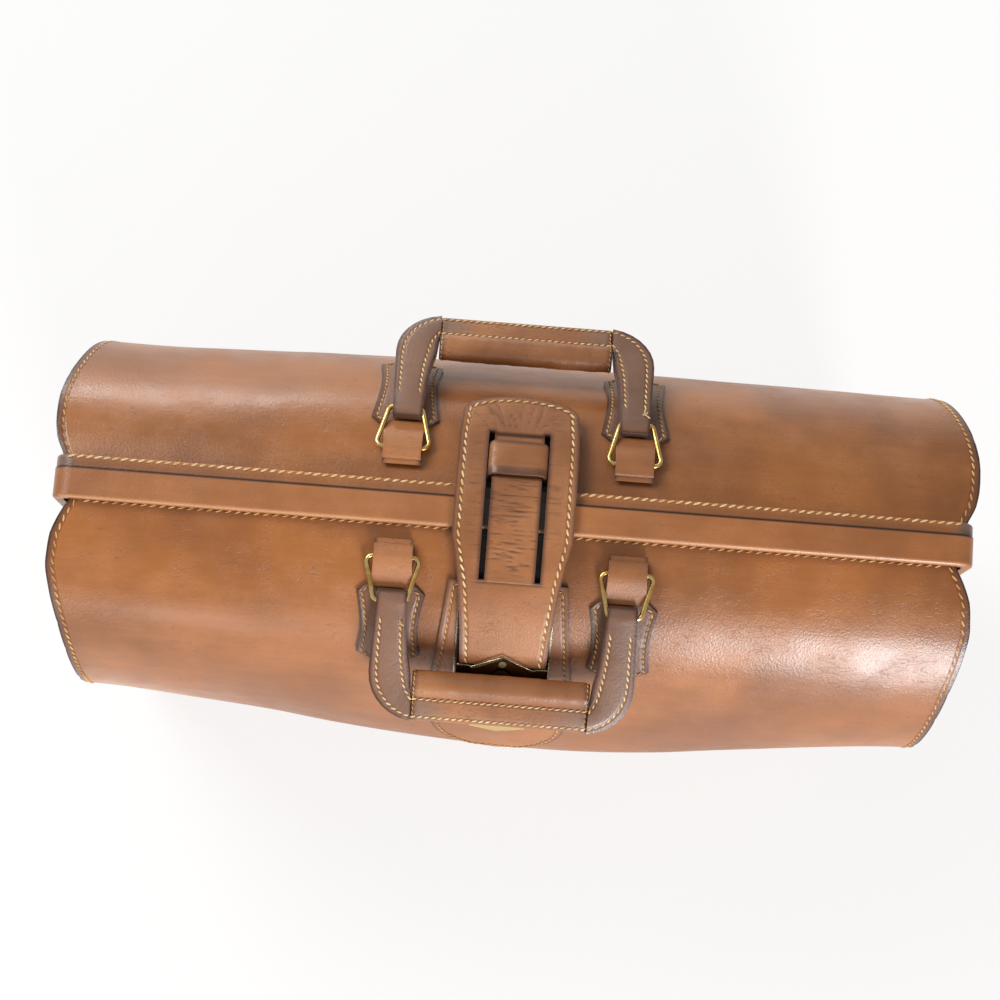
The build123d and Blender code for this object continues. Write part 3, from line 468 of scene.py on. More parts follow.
def measured_grid(us, vs):
    """A flat grid whose points know their two measures, and the layers that hold these."""
    bm = bmesh.new()
    bmesh.ops.create_grid(bm, x_segments=len(us) - 1, y_segments=len(vs) - 1, size=1)
    u_mark, v_mark = bm.verts.layers.float.new("u"), bm.verts.layers.float.new("v")
    for vert in bm.verts:
        vert[u_mark] = us[round((vert.co.x + 1) / 2 * (len(us) - 1))]
        vert[v_mark] = vs[round((vert.co.y + 1) / 2 * (len(vs) - 1))]
    return bm, u_mark, v_mark


# %% Sheets of leather
def leather_sheet(name, us, vs, place, thickness, material, cut=None, rim=RIM, inside=None, chart=None):
    """A sheet from two lists of measures, a place function and a thickness in mm."""
    bm, u_mark, v_mark = measured_grid(us, vs)
    if cut:
        middles = {face: [sum(vert[mark] for vert in face.verts) / len(face.verts) for mark in (u_mark, v_mark)]
                   for face in bm.faces}
        bmesh.ops.delete(bm, geom=[face for face in bm.faces if cut(*middles[face])], context="FACES")
    for vert in bm.verts:
        vert.co = place(vert[u_mark], vert[v_mark], 0.0)
    bmesh.ops.remove_doubles(bm, verts=bm.verts[:], dist=1e-6)
    edge_points = [vert.co.copy() for vert in bm.verts if vert.is_boundary]
    outer = set(bm.verts)
    grown = bmesh.ops.extrude_face_region(bm, geom=bm.faces[:])
    for item in grown["geom"]:
        if isinstance(item, bmesh.types.BMVert):
            item.co = place(item[u_mark], item[v_mark], -thickness)
    walls = {face for face in bm.faces if 0 < sum(vert in outer for vert in face.verts) < len(face.verts)}
    for face in bm.faces:
        face.material_index = int(inside is not None and not any(vert in outer for vert in face.verts))
    rims = [edge for edge in bm.edges if sum(face in walls for face in edge.link_faces) == 1]
    bmesh.ops.bevel(bm, geom=rims, offset=rim * MM, offset_type="OFFSET", segments=2, profile=0.5,
                    affect="EDGES", clamp_overlap=True, material=-1)
    bmesh.ops.recalc_face_normals(bm, faces=bm.faces[:])
    run = list(zip(vs, path_lengths([place(us[len(us) // 2], v, 0.0) for v in vs])))
    return link_hide(name, bm, [material] + ([inside] if inside is not None else []),
                     lambda vert: chart(vert.co) if chart else (vert.co.x, read_off(run, vert[v_mark])), edge_points)


def path_lengths(points):
    """The distance from the first point along a path, at each of its points."""
    total, lengths = 0.0, [0.0]
    for a, b in zip(points, points[1:]):
        total += (b - a).length
        lengths.append(total)
    return lengths


def rows_to(leans, step):
    """Leans from the first of a list to its last, that include each one of them."""
    return [row for low, high in zip(leans, leans[1:]) for row in spread(low, high, step)[:-1]] + [leans[-1]]


def on_path(points, v):
    """The place on a path of flat points at a measure that is 0, 1, 2 and so on at its points."""
    index = min(int(v), len(points) - 2)
    (xa, ya), (xb, yb) = points[index], points[index + 1]
    return xa + (xb - xa) * (v - index), ya + (yb - ya) * (v - index)


print("the sheet maker is ready")

# %% [markdown]
# A saddle stitch shows as a short slanted dash of thread with its ends pulled into the leather. One
# helper walks along a path on the leather and lays a small rounded dash at every pitch. A dash has
# thirty faces, because there are more than a thousand of them. The pitch, from 2.6 to 4.6 mm, is
# what the photograph shows on each piece.

# %% Stitches
STITCH_WIDTH = 1.1
NARROW_STITCH = 1.0
STITCH_HEIGHT = 1.0
SLANT = 20.0               # degrees off the seam


def stitches(name, paths, pitch, slant=SLANT, width=STITCH_WIDTH, share=0.84, seed=1, thread=None):
    """Dashes of thread along paths. A path is a list of (place, outward direction) pairs."""
    bm = bmesh.new()
    chance = random.Random(seed)
    count = 0
    for path in paths:
        points = [spot for spot, outward in path]
        lengths = path_lengths(points)
        number = max(1, round(lengths[-1] / (pitch * MM)))
        for i in range(number):
            target = (i + 0.5) / number * lengths[-1]
            k = max(j for j in range(len(lengths) - 1) if lengths[j] <= target)
            share_along = (target - lengths[k]) / max(1e-9, lengths[k + 1] - lengths[k])
            spot = points[k].lerp(points[k + 1], share_along)
            along = (points[k + 1] - points[k]).normalized()
            outward = path[k][1].lerp(path[k + 1][1], share_along).normalized()
            turn = Matrix.Rotation(math.radians(slant + chance.uniform(-4, 4)), 3, outward)
            along = (turn @ along).normalized()
            across = outward.cross(along).normalized()
            size = chance.uniform(0.9, 1.08)
            frame_of = Matrix((across, outward, along)).transposed().to_4x4()
            scale = Matrix.Diagonal((width * MM / 2, STITCH_HEIGHT * MM / 2, pitch * MM * share * size / 2, 1.0))
            bmesh.ops.create_uvsphere(bm, u_segments=6, v_segments=5, radius=1,
                                      matrix=Matrix.Translation(spot) @ frame_of @ scale)
            count += 1
    piece = link_mesh(name, bm, [thread or linen_thread])
    print(name, "has", count, "stitches")
    return piece


def seam_path(place, pairs, height=0.12):
    """A path on a sheet from pairs of its measures, with the outward direction at each pair."""
    return [(place(u, v, height), (place(u, v, height + 1.0) - place(u, v, height)).normalized()) for u, v in pairs]


def sew(piece, name, paths, pitch, body, **options):
    """Lay stitches on a piece, mark the leather near them, and let them ride on the piece's body."""
    mark_distances(piece, "seam_mm", [a.lerp(b, i / 4) for path in paths for (a, _), (b, _) in zip(path, path[1:])
                                      for i in range(4)])
    thread = stitches(name, paths, pitch, **options)
    if body:
        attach(thread, body)
    return thread


def wire(name, paths, radius, material, sides=6):
    """Round wire or thread along paths of points, as one mesh; a radius in mm."""
    bm = bmesh.new()
    for path in paths:
        last = None
        for index, point in enumerate(path):
            ahead = path[min(index + 1, len(path) - 1)] - path[max(index - 1, 0)]
            turn = ahead.to_track_quat("Z", "Y").to_matrix()
            ring = [bm.verts.new(point + turn @ Vector((math.cos(a), math.sin(a), 0)) * radius * MM)
                    for a in (2 * math.pi * i / sides for i in range(sides))]
            if last:
                for i in range(sides):
                    bm.faces.new((last[i], last[(i + 1) % sides], ring[(i + 1) % sides], ring[i]))
            else:
                bm.faces.new(ring)
            last = ring
        bm.faces.new(last)
    bmesh.ops.recalc_face_normals(bm, faces=bm.faces[:])
    return link_mesh(name, bm, [material])


def rub_where(piece, share, test):
    """Treat part of a piece as nearer to its cut edge, so that it wears darker there."""
    mark = piece.data.attributes["edge_mm"]
    for index, vertex in enumerate(piece.data.vertices):
        if test(vertex.co):
            mark.data[index].value *= share


def lean_of(spot):
    """The lean of a point in degrees."""
    return math.degrees(math.atan2(-spot.y, spot.z - HINGE.z))


# %% [markdown]
# Each side of the bag is one supple panel of hide. It comes out from under the frame's lip, curves
# over the shoulder and runs down the wall to the base. It widens from the frame to the hinge line,
# and the front one swells out in the middle, where the bag is full. On the CAD it is two rigid
# pieces, a shoulder that turns with the jaw and a wall that stays, so one sheet replaces both.

# %% Front and back panels
HANG = 96.0                # lean at which the shoulder ends and the wall begins
FOOT = 8.0
WALL_TOP = 197.0
WALL = 187.0               # how far down the wall goes from there, in the sheet's own measure
HALF_LENGTHS = {
    FRONT: [(0.0, 215.0), (7.0, 216.6), (12.0, 221.2), (18.0, 225.0), (28.0, 226.8), (39.0, 224.6), (50.0, 221.8),
            (62.0, 219.6), (75.0, 218.2), (86.0, 217.4), (96.0, 218.0)],
    BACK: [(0.0, 218.5), (7.0, 221.5), (12.0, 225.6), (18.0, 227.8), (28.0, 229.0), (39.0, 227.8), (50.0, 225.4),
           (62.0, 222.8), (75.0, 220.0), (86.0, 218.0), (96.0, 218.0)],
}
WALL_HALF_LENGTHS = [(8.0, 223.4), (50.0, 223.6), (100.0, 223.4), (150.0, 221.6), (197.0, 218.4)]
WALL_DEPTHS = [(8.0, 61.0), (50.0, 68.5), (100.0, 76.5), (150.0, 84.0), (181.0, 88.4), (197.0, 89.4)]
WALL_BOWS = [(8.0, 2.0), (50.0, 9.5), (100.0, 15.5), (150.0, 17.0), (181.0, 15.5), (197.0, 13.4)]
SWELL_MIDDLE = 0.12        # where the swelling is greatest, as a share of the half length
BACK_SHARE = 0.16          # how much of the front's swelling the back has
END_RADII = {"left": 88.4, "right": 91.4}
SWOLLEN_RADIUS = 106.8
PANEL_SEAM_IN = 3.6
PANEL_PITCH = 4.6
BLEND_END = 48.0
PANEL_TOP = {FRONT: 3.2, BACK: 4.6}


# %% The shape of a panel
def bell(u):
    """How much of the swelling a point has: all of it a little right of the middle, none at the ends."""
    off = (u - SWELL_MIDDLE) / (1 + SWELL_MIDDLE if u < SWELL_MIDDLE else 1 - SWELL_MIDDLE)
    return (1 - min(1.0, off * off)) ** 2


def shoulder_radius(side, u, lean):
    """Radius of the panel's outer face at a share of the half length and a lean."""
    x = abs(u) * 225.0
    at_end = END_RADII["left" if u < 0 else "right"]
    narrowed = SHOULDER - (SHOULDER - at_end) * smooth(40.0, 215.0, x) * smooth(6.0, 55.0, lean)
    low = min(1.0, max(0.0, (lean - 58.0) / (HANG - 58.0)))
    rise = low * low * (1.5 - 0.5 * low)
    share = 1.0 if side == FRONT else BACK_SHARE
    end_rise = 1.0
    return narrowed + rise * (end_rise + (SWOLLEN_RADIUS - SHOULDER - end_rise) * bell(u) * share)


def half_length(side, v):
    """Half the panel's length at a lean, or down the wall."""
    if v <= HANG:
        return read_off(HALF_LENGTHS[side], v)
    return read_off(WALL_HALF_LENGTHS, WALL_TOP - (v - HANG) * (WALL_TOP - FOOT) / WALL)


def panel_place(side):
    """The place function of a panel: u is a share of the half length, v a lean or a way down."""
    def place(u, v, height):
        x = u * half_length(side, v)
        radius = shoulder_radius(side, u, min(v, HANG))
        wobble = 0.8 * noise.noise(Vector((x / 55, v / 40, 3.0 + side)))
        wobble = (wobble + 2.0 * noise.noise(Vector((x / 120, v / 70, 6.0 + side)))) * smooth(85, 130, abs(x))
        if v <= HANG:
            wobble *= smooth(10, 40, v)
            return polar(x, side * v, radius + height + wobble)
        angle = math.radians(HANG)
        top = HINGE_HEIGHT + radius * math.cos(angle)
        level = top + (FOOT - top) * (v - HANG) / WALL
        share = 1.0 if side == FRONT else BACK_SHARE
        depth = read_off(WALL_DEPTHS, level) + read_off(WALL_BOWS, level) * bell(u) * share
        joined = radius * math.sin(angle)
        at_top = read_off(WALL_DEPTHS, top) + read_off(WALL_BOWS, top) * bell(u) * share
        depth += (joined - at_top) * (1 - smooth(0.0, 45.0, v - HANG))
        settle = smooth(0.0, 30.0, v - HANG) * smooth(HANG + WALL, HANG + WALL - 40, v)
        sag = 1.5 * settle * noise.noise(Vector((x / 85, v / 60, 7.0)))
        return at(x, -side * (depth + height + wobble + sag), level)
    return place


def graded(half, fine, near):
    """Measures across a sheet from -1 to 1: some near both edges (mm) and even ones in the middle."""
    side = [1 - d / half for d in near]
    return [-s for s in side] + spread(-side[-1], side[-1], fine / half)[1:-1] + side[::-1]


# %% Both panels
for side_name, side in SIDES.items():
    place = panel_place(side)
    us = graded(229.0, 3.6, [0.0, 0.6, 1.3, 2.2, 3.1, 3.6, 4.1, 4.6, 5.2, 6.2, 8.0])
    vs = spread(PANEL_TOP[side], HANG, 1.6)[:-1] + spread(HANG, HANG + WALL, 4.0)
    panel = leather_sheet(f"{side_name}_panel_leather", us, vs, place, HIDE, panel_hide, inside=suede)
    columns = [1 - PANEL_SEAM_IN / 227.0, -1 + PANEL_SEAM_IN / 227.0]
    paths = [seam_path(place, [(u, v) for v in vs if 6 < v < HANG + WALL - 6]) for u in columns]
    paths.append(seam_path(place, [(u, HANG + WALL - 7) for u in spread(-0.975, 0.975, 0.01)]))
    if side == FRONT:
        paths += [seam_path(place, [(end * u, 7.0) for u in spread(0.14, 0.97, 0.01)]) for end in ENDS.values()]
    thread = sew(panel, f"{side_name}_panel_stitches", paths, PANEL_PITCH, None, seed=2 + side, thread=aged_thread)
    end = polar(0, side * BLEND_END, SHOULDER)
    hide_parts(f"{side_name}_panel", f"{side_name}_shoulder")
    for piece in (panel, thread):
        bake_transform(piece)
        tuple(end)
    print(panel.name, "has", len(panel.data.polygons), "faces")

# %% [markdown]
# The ends of the bag are the gussets. A gusset's edge is turned outwards and sewn to the inside of
# the panel's edge, and the rest of it crosses the bag, dished a little inwards. Near the mouth it
# hangs inside the frame's arms, so that the hoops can swing. Here each end is a front and a back
# half, which meet in the middle.

# %% Gussets
FLANGE = 5.0               # the edge that is turned outwards
SEWN = 0.12                # share of the sheet that it takes
GUSSET = 2.4
CENTRE_TOP = 287.0
CENTRE_LINE = [(0.0, CENTRE_TOP), (HANG, 168.0), (HANG + WALL, FOOT)]
CENTRE_X = [(8.0, 221.2), (50.0, 219.6), (100.0, 219.0), (150.0, 224.0), (176.0, 224.8), (197.0, 216.6),
            (215.0, 216.4), (290.0, 216.8)]


def end_chart(spot):
    """The hide of the gussets and folds is mapped flat from the end of the bag."""
    return spot.y, spot.z


def gusset_place(side, end):
    """u runs from the sewn edge to the middle of the end, v as on the panel."""
    panel = panel_place(side)

    def place(u, v, height):
        edge_u = end * (1 - 0.4 / 230)
        turned_u = end * (1 - FLANGE / half_length(side, v))
        if u <= SEWN:
            share = u / SEWN
            return panel(edge_u + (turned_u - edge_u) * share, v, -HIDE - 0.1 - GUSSET - height)
        corner = panel(turned_u, v, -HIDE - 0.1 - GUSSET)
        middle_height = read_off(CENTRE_LINE, v)
        middle = at(end * read_off(CENTRE_X, middle_height), -side * 0.5, middle_height)
        share = (u - SEWN) / (1 - SEWN)
        spot = corner.lerp(middle, share)
        spot.x = corner.x + (middle.x - corner.x) * smooth(0.0, 1.0, share)
        spot.x += end * (height - 1.6 * math.sin(math.pi * share)) * MM
        return spot
    return place


for side_name, side, end_name, end in QUARTERS:
    place = gusset_place(side, end)
    us = spread(0.0, SEWN, 0.03)[:-1] + [SEWN, 0.126, 0.14, 0.16] + spread(0.19, 1.0, 0.035)
    vs = spread(PANEL_TOP[side] + 1, HANG, 2.5)[:-1] + spread(HANG, HANG + WALL, 5.0)
    half = leather_sheet(f"{end_name}_gusset_{side_name}_half", us, vs, place, GUSSET, gusset_hide,
                         chart=end_chart)
    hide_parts(*([f"{side_name}_{end_name}_cheek"] + ([f"{end_name}_gusset"] if side == FRONT else [])))
    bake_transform(half)
print("gussets made")

# %% [markdown]
# Where the halves of an end part above the hinge pin, the gusset of such a bag is folded inwards. At
# rest the fold is shut: two leaves lie face to face. Below the pin a welt covers the joint, and a
# stitched tab carries the pin.

# %% Folds
LEAF = 1.1
LEAF_US = [0, 0.5, 1, 1.5, 2, 2.5, 3] + spread(3.1, 4.0, 0.08)
LEAF_PATH = [(213.4, 7.0), (213.4, 2.6), (212.6, 1.4), (210.8, 0.75), (178.0, 0.6)]
LEAF_SPAN = (208.0, 283.0)


def leaf_place(side, end):
    """u along the leaf from behind the gusset to its inner edge, v a height."""
    def place(u, v, height):
        index = min(int(u), len(LEAF_PATH) - 2)
        (xa, ya), (xb, yb) = LEAF_PATH[index:index + 2]
        x, y = on_path(LEAF_PATH, u)
        run = Vector((xb - xa, yb - ya)).normalized()
        x, y = x - run.y * height, y + run.x * -height
        rise = v if u < 3 else LEAF_SPAN[0] + (v - LEAF_SPAN[0]) * (1 - 0.12 * (u - 3))
        return at(end * x, -side * max(y, 0.05), rise)
    return place


for side_name, side, end_name, end in QUARTERS:
    leaf = leather_sheet(f"{end_name}_gusset_{side_name}_leaf", LEAF_US, spread(*LEAF_SPAN, 4.0),
                         leaf_place(side, end), LEAF, gusset_hide, rim=0.25, chart=lambda spot: (spot.x, spot.z))
    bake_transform(leaf)
print("folds made")

# %% Hinge tabs and welts
TAB_RADIUS = 13.0
TAB_FOOT = 164.0
TAB_OUTER = 228.5
TAB_SEAM = 10.0            # half width of the row of stitches
WELT_HALF = 3.2


def tab_half(height):
    """Half width of a tab, with a round top and foot."""
    past = max(0.0, height - HINGE_HEIGHT, TAB_FOOT - height)
    return max(0.6, math.sqrt(max(0.0, TAB_RADIUS ** 2 - past ** 2)))


def tab_place(end):
    """u across the tab, v a height."""
    return lambda u, v, height: at(end * (TAB_OUTER + height), end * u * tab_half(v), v)


def welt_place(end):
    """u across the welt, v a height."""
    def place(u, v, height):
        x = read_off(CENTRE_X, v) + 0.4 + height + 0.5 * (1 - u * u)
        return at(end * x, end * u * WELT_HALF, v)
    return place


tab_rows = rows_to([TAB_FOOT - TAB_RADIUS, TAB_FOOT - 6, TAB_FOOT, HINGE_HEIGHT, HINGE_HEIGHT + 6,
                    HINGE_HEIGHT + TAB_RADIUS], 1.5)
tab_sides = [[(side * TAB_SEAM, z) for z in spread(HINGE_HEIGHT, TAB_FOOT, 3.0)] for side in (1, -1)]
tab_arc = [(TAB_SEAM * math.cos(a), TAB_FOOT + TAB_SEAM * math.sin(a))
           for a in (math.radians(d) for d in range(0, -181, -12))]
for end_name, end in ENDS.items():
    tab = leather_sheet(f"{end_name}_hinge_tab", [-1, -0.9, -0.75] + spread(-0.6, 0.6, 0.2) + [0.75, 0.9, 1],
                        tab_rows, tab_place(end), 2.4, patch_hide, chart=end_chart)
    paths = [[(at(end * (TAB_OUTER + 0.15), y, z), Vector((end, 0, 0))) for y, z in run]
             for run in (*tab_sides, tab_arc)]
    sew(tab, f"{end_name}_tab_stitches", paths, 3.6, "bag", width=NARROW_STITCH)
    welt = leather_sheet(f"{end_name}_gusset_welt", [-1, -0.6, 0, 0.6, 1], spread(9.0, 192.0, 4.0),
                         welt_place(end), 1.0, gusset_hide, rim=0.3, chart=end_chart)
    for piece in (tab, welt):
        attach(piece, "bag")

# %% [markdown]
# Before the straps there is one more shape to settle: a cut piece of leather lying on the shoulder.
# Its outline is given by its half width at a few leans, and the sheet's columns are drawn in to it.


# %% Pieces that lie on the shoulder
def lying_place(x_middle, side, outer, half_at, follow=None):
    """A sheet on the shoulder: u from -1 to 1 across, v a lean, with its half width from half_at."""
    def place(u, v, height):
        x = x_middle + u * half_at(v)
        lift = follow(x, v) if follow else 0.0
        return polar(x, side * v, outer + lift + height)
    return place


def across(half):
    """Measures across a narrow sheet, finer near its edges."""
    return graded(half, 2.0, [d for d in (0.0, 0.5, 1.1, 1.9, 2.7, 3.3, 3.9, 4.7) if d < half * 0.7])


def outline_path(place, half_at, leans, inset, closed_foot=False):
    """A seam that runs inside a lying sheet's outline, down one side and up the other."""
    down = [(max(0.0, 1 - inset / max(half_at(lean), 1e-6)), lean) for lean in spread(*leans, 0.5)]
    up = [(-u, lean) for u, lean in reversed(down)]
    return [seam_path(place, run) for run in ([down + up] if closed_foot else [down, up])]


# %% [markdown]
# Four keystone patches carry the rings. Each is a thick piece of hide, sewn down all round, with a
# pointed foot that hides under the handle's leg.

# %% Ring patches
RING_X = 57.0
PATCH = 1.8
PATCH_TOP, PATCH_WAIST = 19.0, 28.0        # leans
PATCH_FOOT = {FRONT: 49.0, BACK: 56.0}
POINT = 5.0                # the pointed foot, in degrees


def patch_half(foot):
    """The half width of a ring patch at a lean, with its sides drawn in at the waist by a smooth curve."""
    def half_at(lean):
        if PATCH_WAIST <= lean <= foot:
            share = (lean - PATCH_WAIST) / (foot - PATCH_WAIST)
            return 16.8 - share - 2.1 * math.sin(math.pi * share)
        return read_off([(PATCH_TOP, 1.0), (PATCH_WAIST, 16.8), (foot, 15.8), (foot + POINT, 0.8)], lean)
    return half_at


for side_name, side, end_name, end in QUARTERS:
    foot = PATCH_FOOT[side]
    half_at = patch_half(foot)
    place = lying_place(end * RING_X, side, SHOULDER + PATCH, half_at)
    rows = rows_to([PATCH_TOP, PATCH_WAIST, foot, foot + POINT], 0.9)
    patch = leather_sheet(f"{side_name}_{end_name}_patch_leather", across(17.0), rows, place, PATCH + 0.8,
                          patch_hide)
    paths = outline_path(place, half_at, (26.5, foot + 1.2), 2.7)
    sew(patch, f"{side_name}_{end_name}_patch_stitches", paths, 3.2, f"{side_name}_jaw", width=NARROW_STITCH,
        thread=aged_thread)
    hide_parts(f"{side_name}_{end_name}_patch")
    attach(patch, f"{side_name}_jaw")
print("ring patches made")

# %% [markdown]
# A loop is a short strap folded over the ring's wide bar, its two ends one over the other. So its
# sheet runs along a path seen from the side: in under the bar, round the fold and back over it.

# %% Ring loops
LOOP_HALF = 9.9
LOOP = 2.0
LOOP_PATH = [(26.0, 93.1), (21.0, 93.1), (16.0, 93.1), (13.6, 93.15), (12.4, 93.6), (11.8, 94.8), (12.2, 96.1),
             (13.5, 97.0), (15.0, 97.8), (16.5, 98.0), (18.4, 97.7), (20.6, 96.8), (23.0, 95.7), (25.6, 95.1)]


def loop_place(x_middle, side):
    """u across, v from 0 to the number of steps along the path."""
    def place(u, v, height):
        lean, radius = on_path(LOOP_PATH, v)
        before = on_path(LOOP_PATH, max(0.0, v - 0.6))
        after = on_path(LOOP_PATH, min(len(LOOP_PATH) - 1.0, v + 0.6))
        run = (after[0] - before[0]) * math.radians(1) * radius, after[1] - before[1]
        size = math.hypot(*run)
        out = (run[1] / size, -run[0] / size)
        lean -= math.degrees((height + LOOP / 2) * out[0] / radius)
        radius += (height + LOOP / 2) * out[1]
        narrow = 1 - 0.05 * math.sin(math.pi * v / (len(LOOP_PATH) - 1))
        return polar(x_middle + u * LOOP_HALF * narrow, side * lean, radius)
    return place


for side_name, side, end_name, end in QUARTERS:
    place = loop_place(end * RING_X, side)
    rows = spread(0.0, len(LOOP_PATH) - 1.0, 0.5)
    loop = leather_sheet(f"{side_name}_{end_name}_loop_leather", across(LOOP_HALF), rows, place, LOOP, strap_hide,
                         rim=0.4)
    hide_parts(f"{side_name}_{end_name}_loop")
    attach(loop, f"{side_name}_jaw")
print("ring loops made")

# %% [markdown]
# The lock side of the front panel has a big stitched patch with a rounded foot. It follows the
# swelling of the panel under it.

# %% Lock patch
LOCK_PATCH = 2.0
ROUND_FROM, LOCK_FOOT = 78.0, 95.5
LOCK_OUTLINE = [(22.0, 29.2), (60.0, 35.6), (ROUND_FROM, 34.6)]


def lock_half(lean):
    """Half width of the lock patch: straight sides, then a rounded foot."""
    if lean <= ROUND_FROM:
        return read_off(LOCK_OUTLINE, lean)
    return 34.2 * max(0.0, 1 - ((lean - ROUND_FROM) / (LOCK_FOOT - ROUND_FROM)) ** 2.2) ** 0.5 + 0.4


def swelling(x, lean):
    """How far the front panel has swollen past the plain shoulder there."""
    return shoulder_radius(FRONT, x / 229.0, lean) - SHOULDER


lock_place = lying_place(0.0, FRONT, SHOULDER + LOCK_PATCH, lock_half, follow=swelling)
lock_rows = rows_to([22.0, ROUND_FROM, 90.0, LOCK_FOOT], 1.0)
lock_patch = leather_sheet("lock_patch_leather", across(31.0), lock_rows, lock_place, LOCK_PATCH, strap_hide)
lock_paths = outline_path(lock_place, lock_half, (23.6, 94.0), 3.0, closed_foot=True)
lock_paths.append(seam_path(lock_place, [(u, 23.6) for u in spread(-0.9, 0.9, 0.05)]))
lock_thread = sew(lock_patch, "lock_patch_stitches", lock_paths, 3.4, None, width=NARROW_STITCH,
                  thread=aged_thread)
for piece in (lock_patch, lock_thread):
    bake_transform(piece)
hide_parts("lock_patch")

# %% [markdown]
# The closing strap is the busiest piece. It is sewn all round, its back end is a flat arch, and two
# long slits let the keeper reach through, so that the tongue between them runs under the keeper's
# bridge. Years of bending have left short cross creases on the tongue and fans of wrinkles in the
# arch, so those are moved into the mesh and painted darker along their lines as shade. Its front
# part folds up off the lock. On the CAD that is a second piece; here the leather is one sheet from
# the strap over the flap, with a crease across it.

# %% Outline and creases of the strap
STRAP_INNER = 98.0
STRAP_OUTER = 100.7
STRAP_HALF = 29.5
ARCH_FROM = -19.0
ARCH_HALF = 28.7
ARCH_CORNER = -29.0
ARCH_TOP = -36.0
SLIT = (12.2, 15.0)
SLIT_SPAN = (-22.7, 20.7)
FOLD = 21.4                # lean of the crease at the flap
FLAP_END = 62.5
CREASE_DEPTH = 0.42
TUCK = 1.3                 # how far the tongue dips to pass under the keeper
STRAP_CORE = 17.0          # half width that the outline leaves straight


def strap_half(lean):
    """Half width of the strap from the arch at the back to the end cap at the front."""
    if lean < ARCH_FROM:
        side = ARCH_HALF + (STRAP_HALF - ARCH_HALF) * smooth(ARCH_CORNER, ARCH_FROM, lean)
        rise = min(1.0, max(0.0, ARCH_CORNER - lean) / (ARCH_CORNER - ARCH_TOP))
        return side * max(0.0, 1 - rise ** 2.1) ** 0.5
    return read_off([(9.0, STRAP_HALF), (FOLD, 24.9), (36.0, 22.2), (46.0, 21.4), (63.0, 21.4)], lean)


def fold_line(value, width):
    """1 where a noise passes through zero and 0 away from there: thin wavy lines."""
    return smooth(width, 0.0, abs(value))


def strap_folds(x, lean):
    """How creased the strap is at a point: across the tongue, fanning out in the arch, at the flap.
    The same share dents the mesh and sets the painted shade along the creases.
    """
    patchy = 0.65 + 0.35 * smooth(-0.3, 0.3, noise.noise(Vector((x / 14.0, lean / 3.5, 4.0))))
    waver = 0.16 * noise.noise(Vector((x / 5.0, lean / 1.5, 1.0)))
    lines = fold_line(noise.noise(Vector((x / 42.0, lean * 0.8 + waver, 5.0))), 0.1)
    tongue = lines * patchy * smooth(12.4, 11.2, abs(x)) * smooth(-10.0, -5.0, lean) * smooth(22.5, 15.0, lean)
    sides = 0.5 * lines * patchy * smooth(14.8, 16.0, abs(x)) * smooth(25.0, 21.0, abs(x)) * smooth(22.0, 12.0, lean)
    reach = math.hypot(x, (lean + 14.0) * 1.76)
    fan_angle = math.atan2(x, -(lean + 14.0) * 1.76)
    fan = fold_line(noise.noise(Vector((fan_angle * 5.5, reach / 26.0 + 0.3 * waver, 9.0))), 0.12)
    arch = 0.55 * fan * smooth(-22.5, -24.5, lean) * smooth(-34.5, -31.0, lean) * smooth(24.5, 20.0, abs(x))
    bend = smooth(0.36, 0.0, abs(lean - FOLD - 0.8 * waver)) * smooth(20.0, 12.0, abs(x))
    # a crease with painted shade where the tongue dips under the keeper
    tuck = 1.4 * smooth(0.7, 0.0, abs(lean + 21.9)) * smooth(13.0, 12.0, abs(x))
    return max(tongue, sides, arch, bend, tuck)


def strap_place(u, v, height):
    """u is a distance from the middle at full width in mm, v a lean."""
    half, core = strap_half(v), STRAP_CORE
    x = u
    if half < core + 2.0:
        x = u * half / STRAP_HALF
    elif abs(u) > core:
        x = math.copysign(core + (abs(u) - core) * (half - core) / (STRAP_HALF - core), u)
    lift = -CREASE_DEPTH * strap_folds(x, v) if height > -1.0 else 0.0
    lift -= TUCK * smooth(-22.6, -21.4, v) * smooth(-8.0, -10.5, v) * smooth(12.9, 12.1, abs(x))
    return polar(x, v, STRAP_OUTER + lift + height)


def in_slit(u, v):
    """Whether a face of the sheet lies in one of the slits."""
    return SLIT[0] < abs(u) < SLIT[1] and SLIT_SPAN[0] < v < SLIT_SPAN[1]


# %% Closing strap
half_columns = [0.0, 1.0, 2.0, 3.0, 4.0, 5.0, 6.0, 7.0, 8.0, 9.0, 10.0, 11.0, 11.7, 12.2, 15.0, 15.5, 16.5,
                18.0, 19.5, 21.0, 22.5, 23.7, 24.6, 25.2, 25.8, 26.6, 27.6, 28.4, 29.0, 29.5]
strap_columns = [-c for c in reversed(half_columns[1:])] + half_columns
arch_rows = [ARCH_CORNER + (ARCH_TOP - ARCH_CORNER) * math.sin(math.radians(a)) for a in range(90, 0, -5)]
slit_rows = rows_to([ARCH_CORNER, SLIT_SPAN[0], SLIT_SPAN[1], 45.6], 0.32) + rows_to([45.6, FLAP_END], 0.8)[1:]
strap = leather_sheet("closing_strap_leather", strap_columns, arch_rows + slit_rows, strap_place,
                      STRAP_OUTER - STRAP_INNER, strap_hide, cut=in_slit, rim=0.6)
# the creases as a mark for the painted shade along them
mark_points(strap, "fold", lambda spot: strap_folds(spot.x / MM, lean_of(spot)))

# %% Stitches of the strap
SEAM_IN = 3.2
SEAM_IN_LEAN = 1.9         # the same at the top of the arch, in degrees
arch_run = [((ARCH_HALF - SEAM_IN) * math.cos(slope),
             ARCH_CORNER + (ARCH_TOP + SEAM_IN_LEAN - ARCH_CORNER) * math.sin(slope))
            for slope in (math.radians(angle) for angle in range(0, 91, 6))]


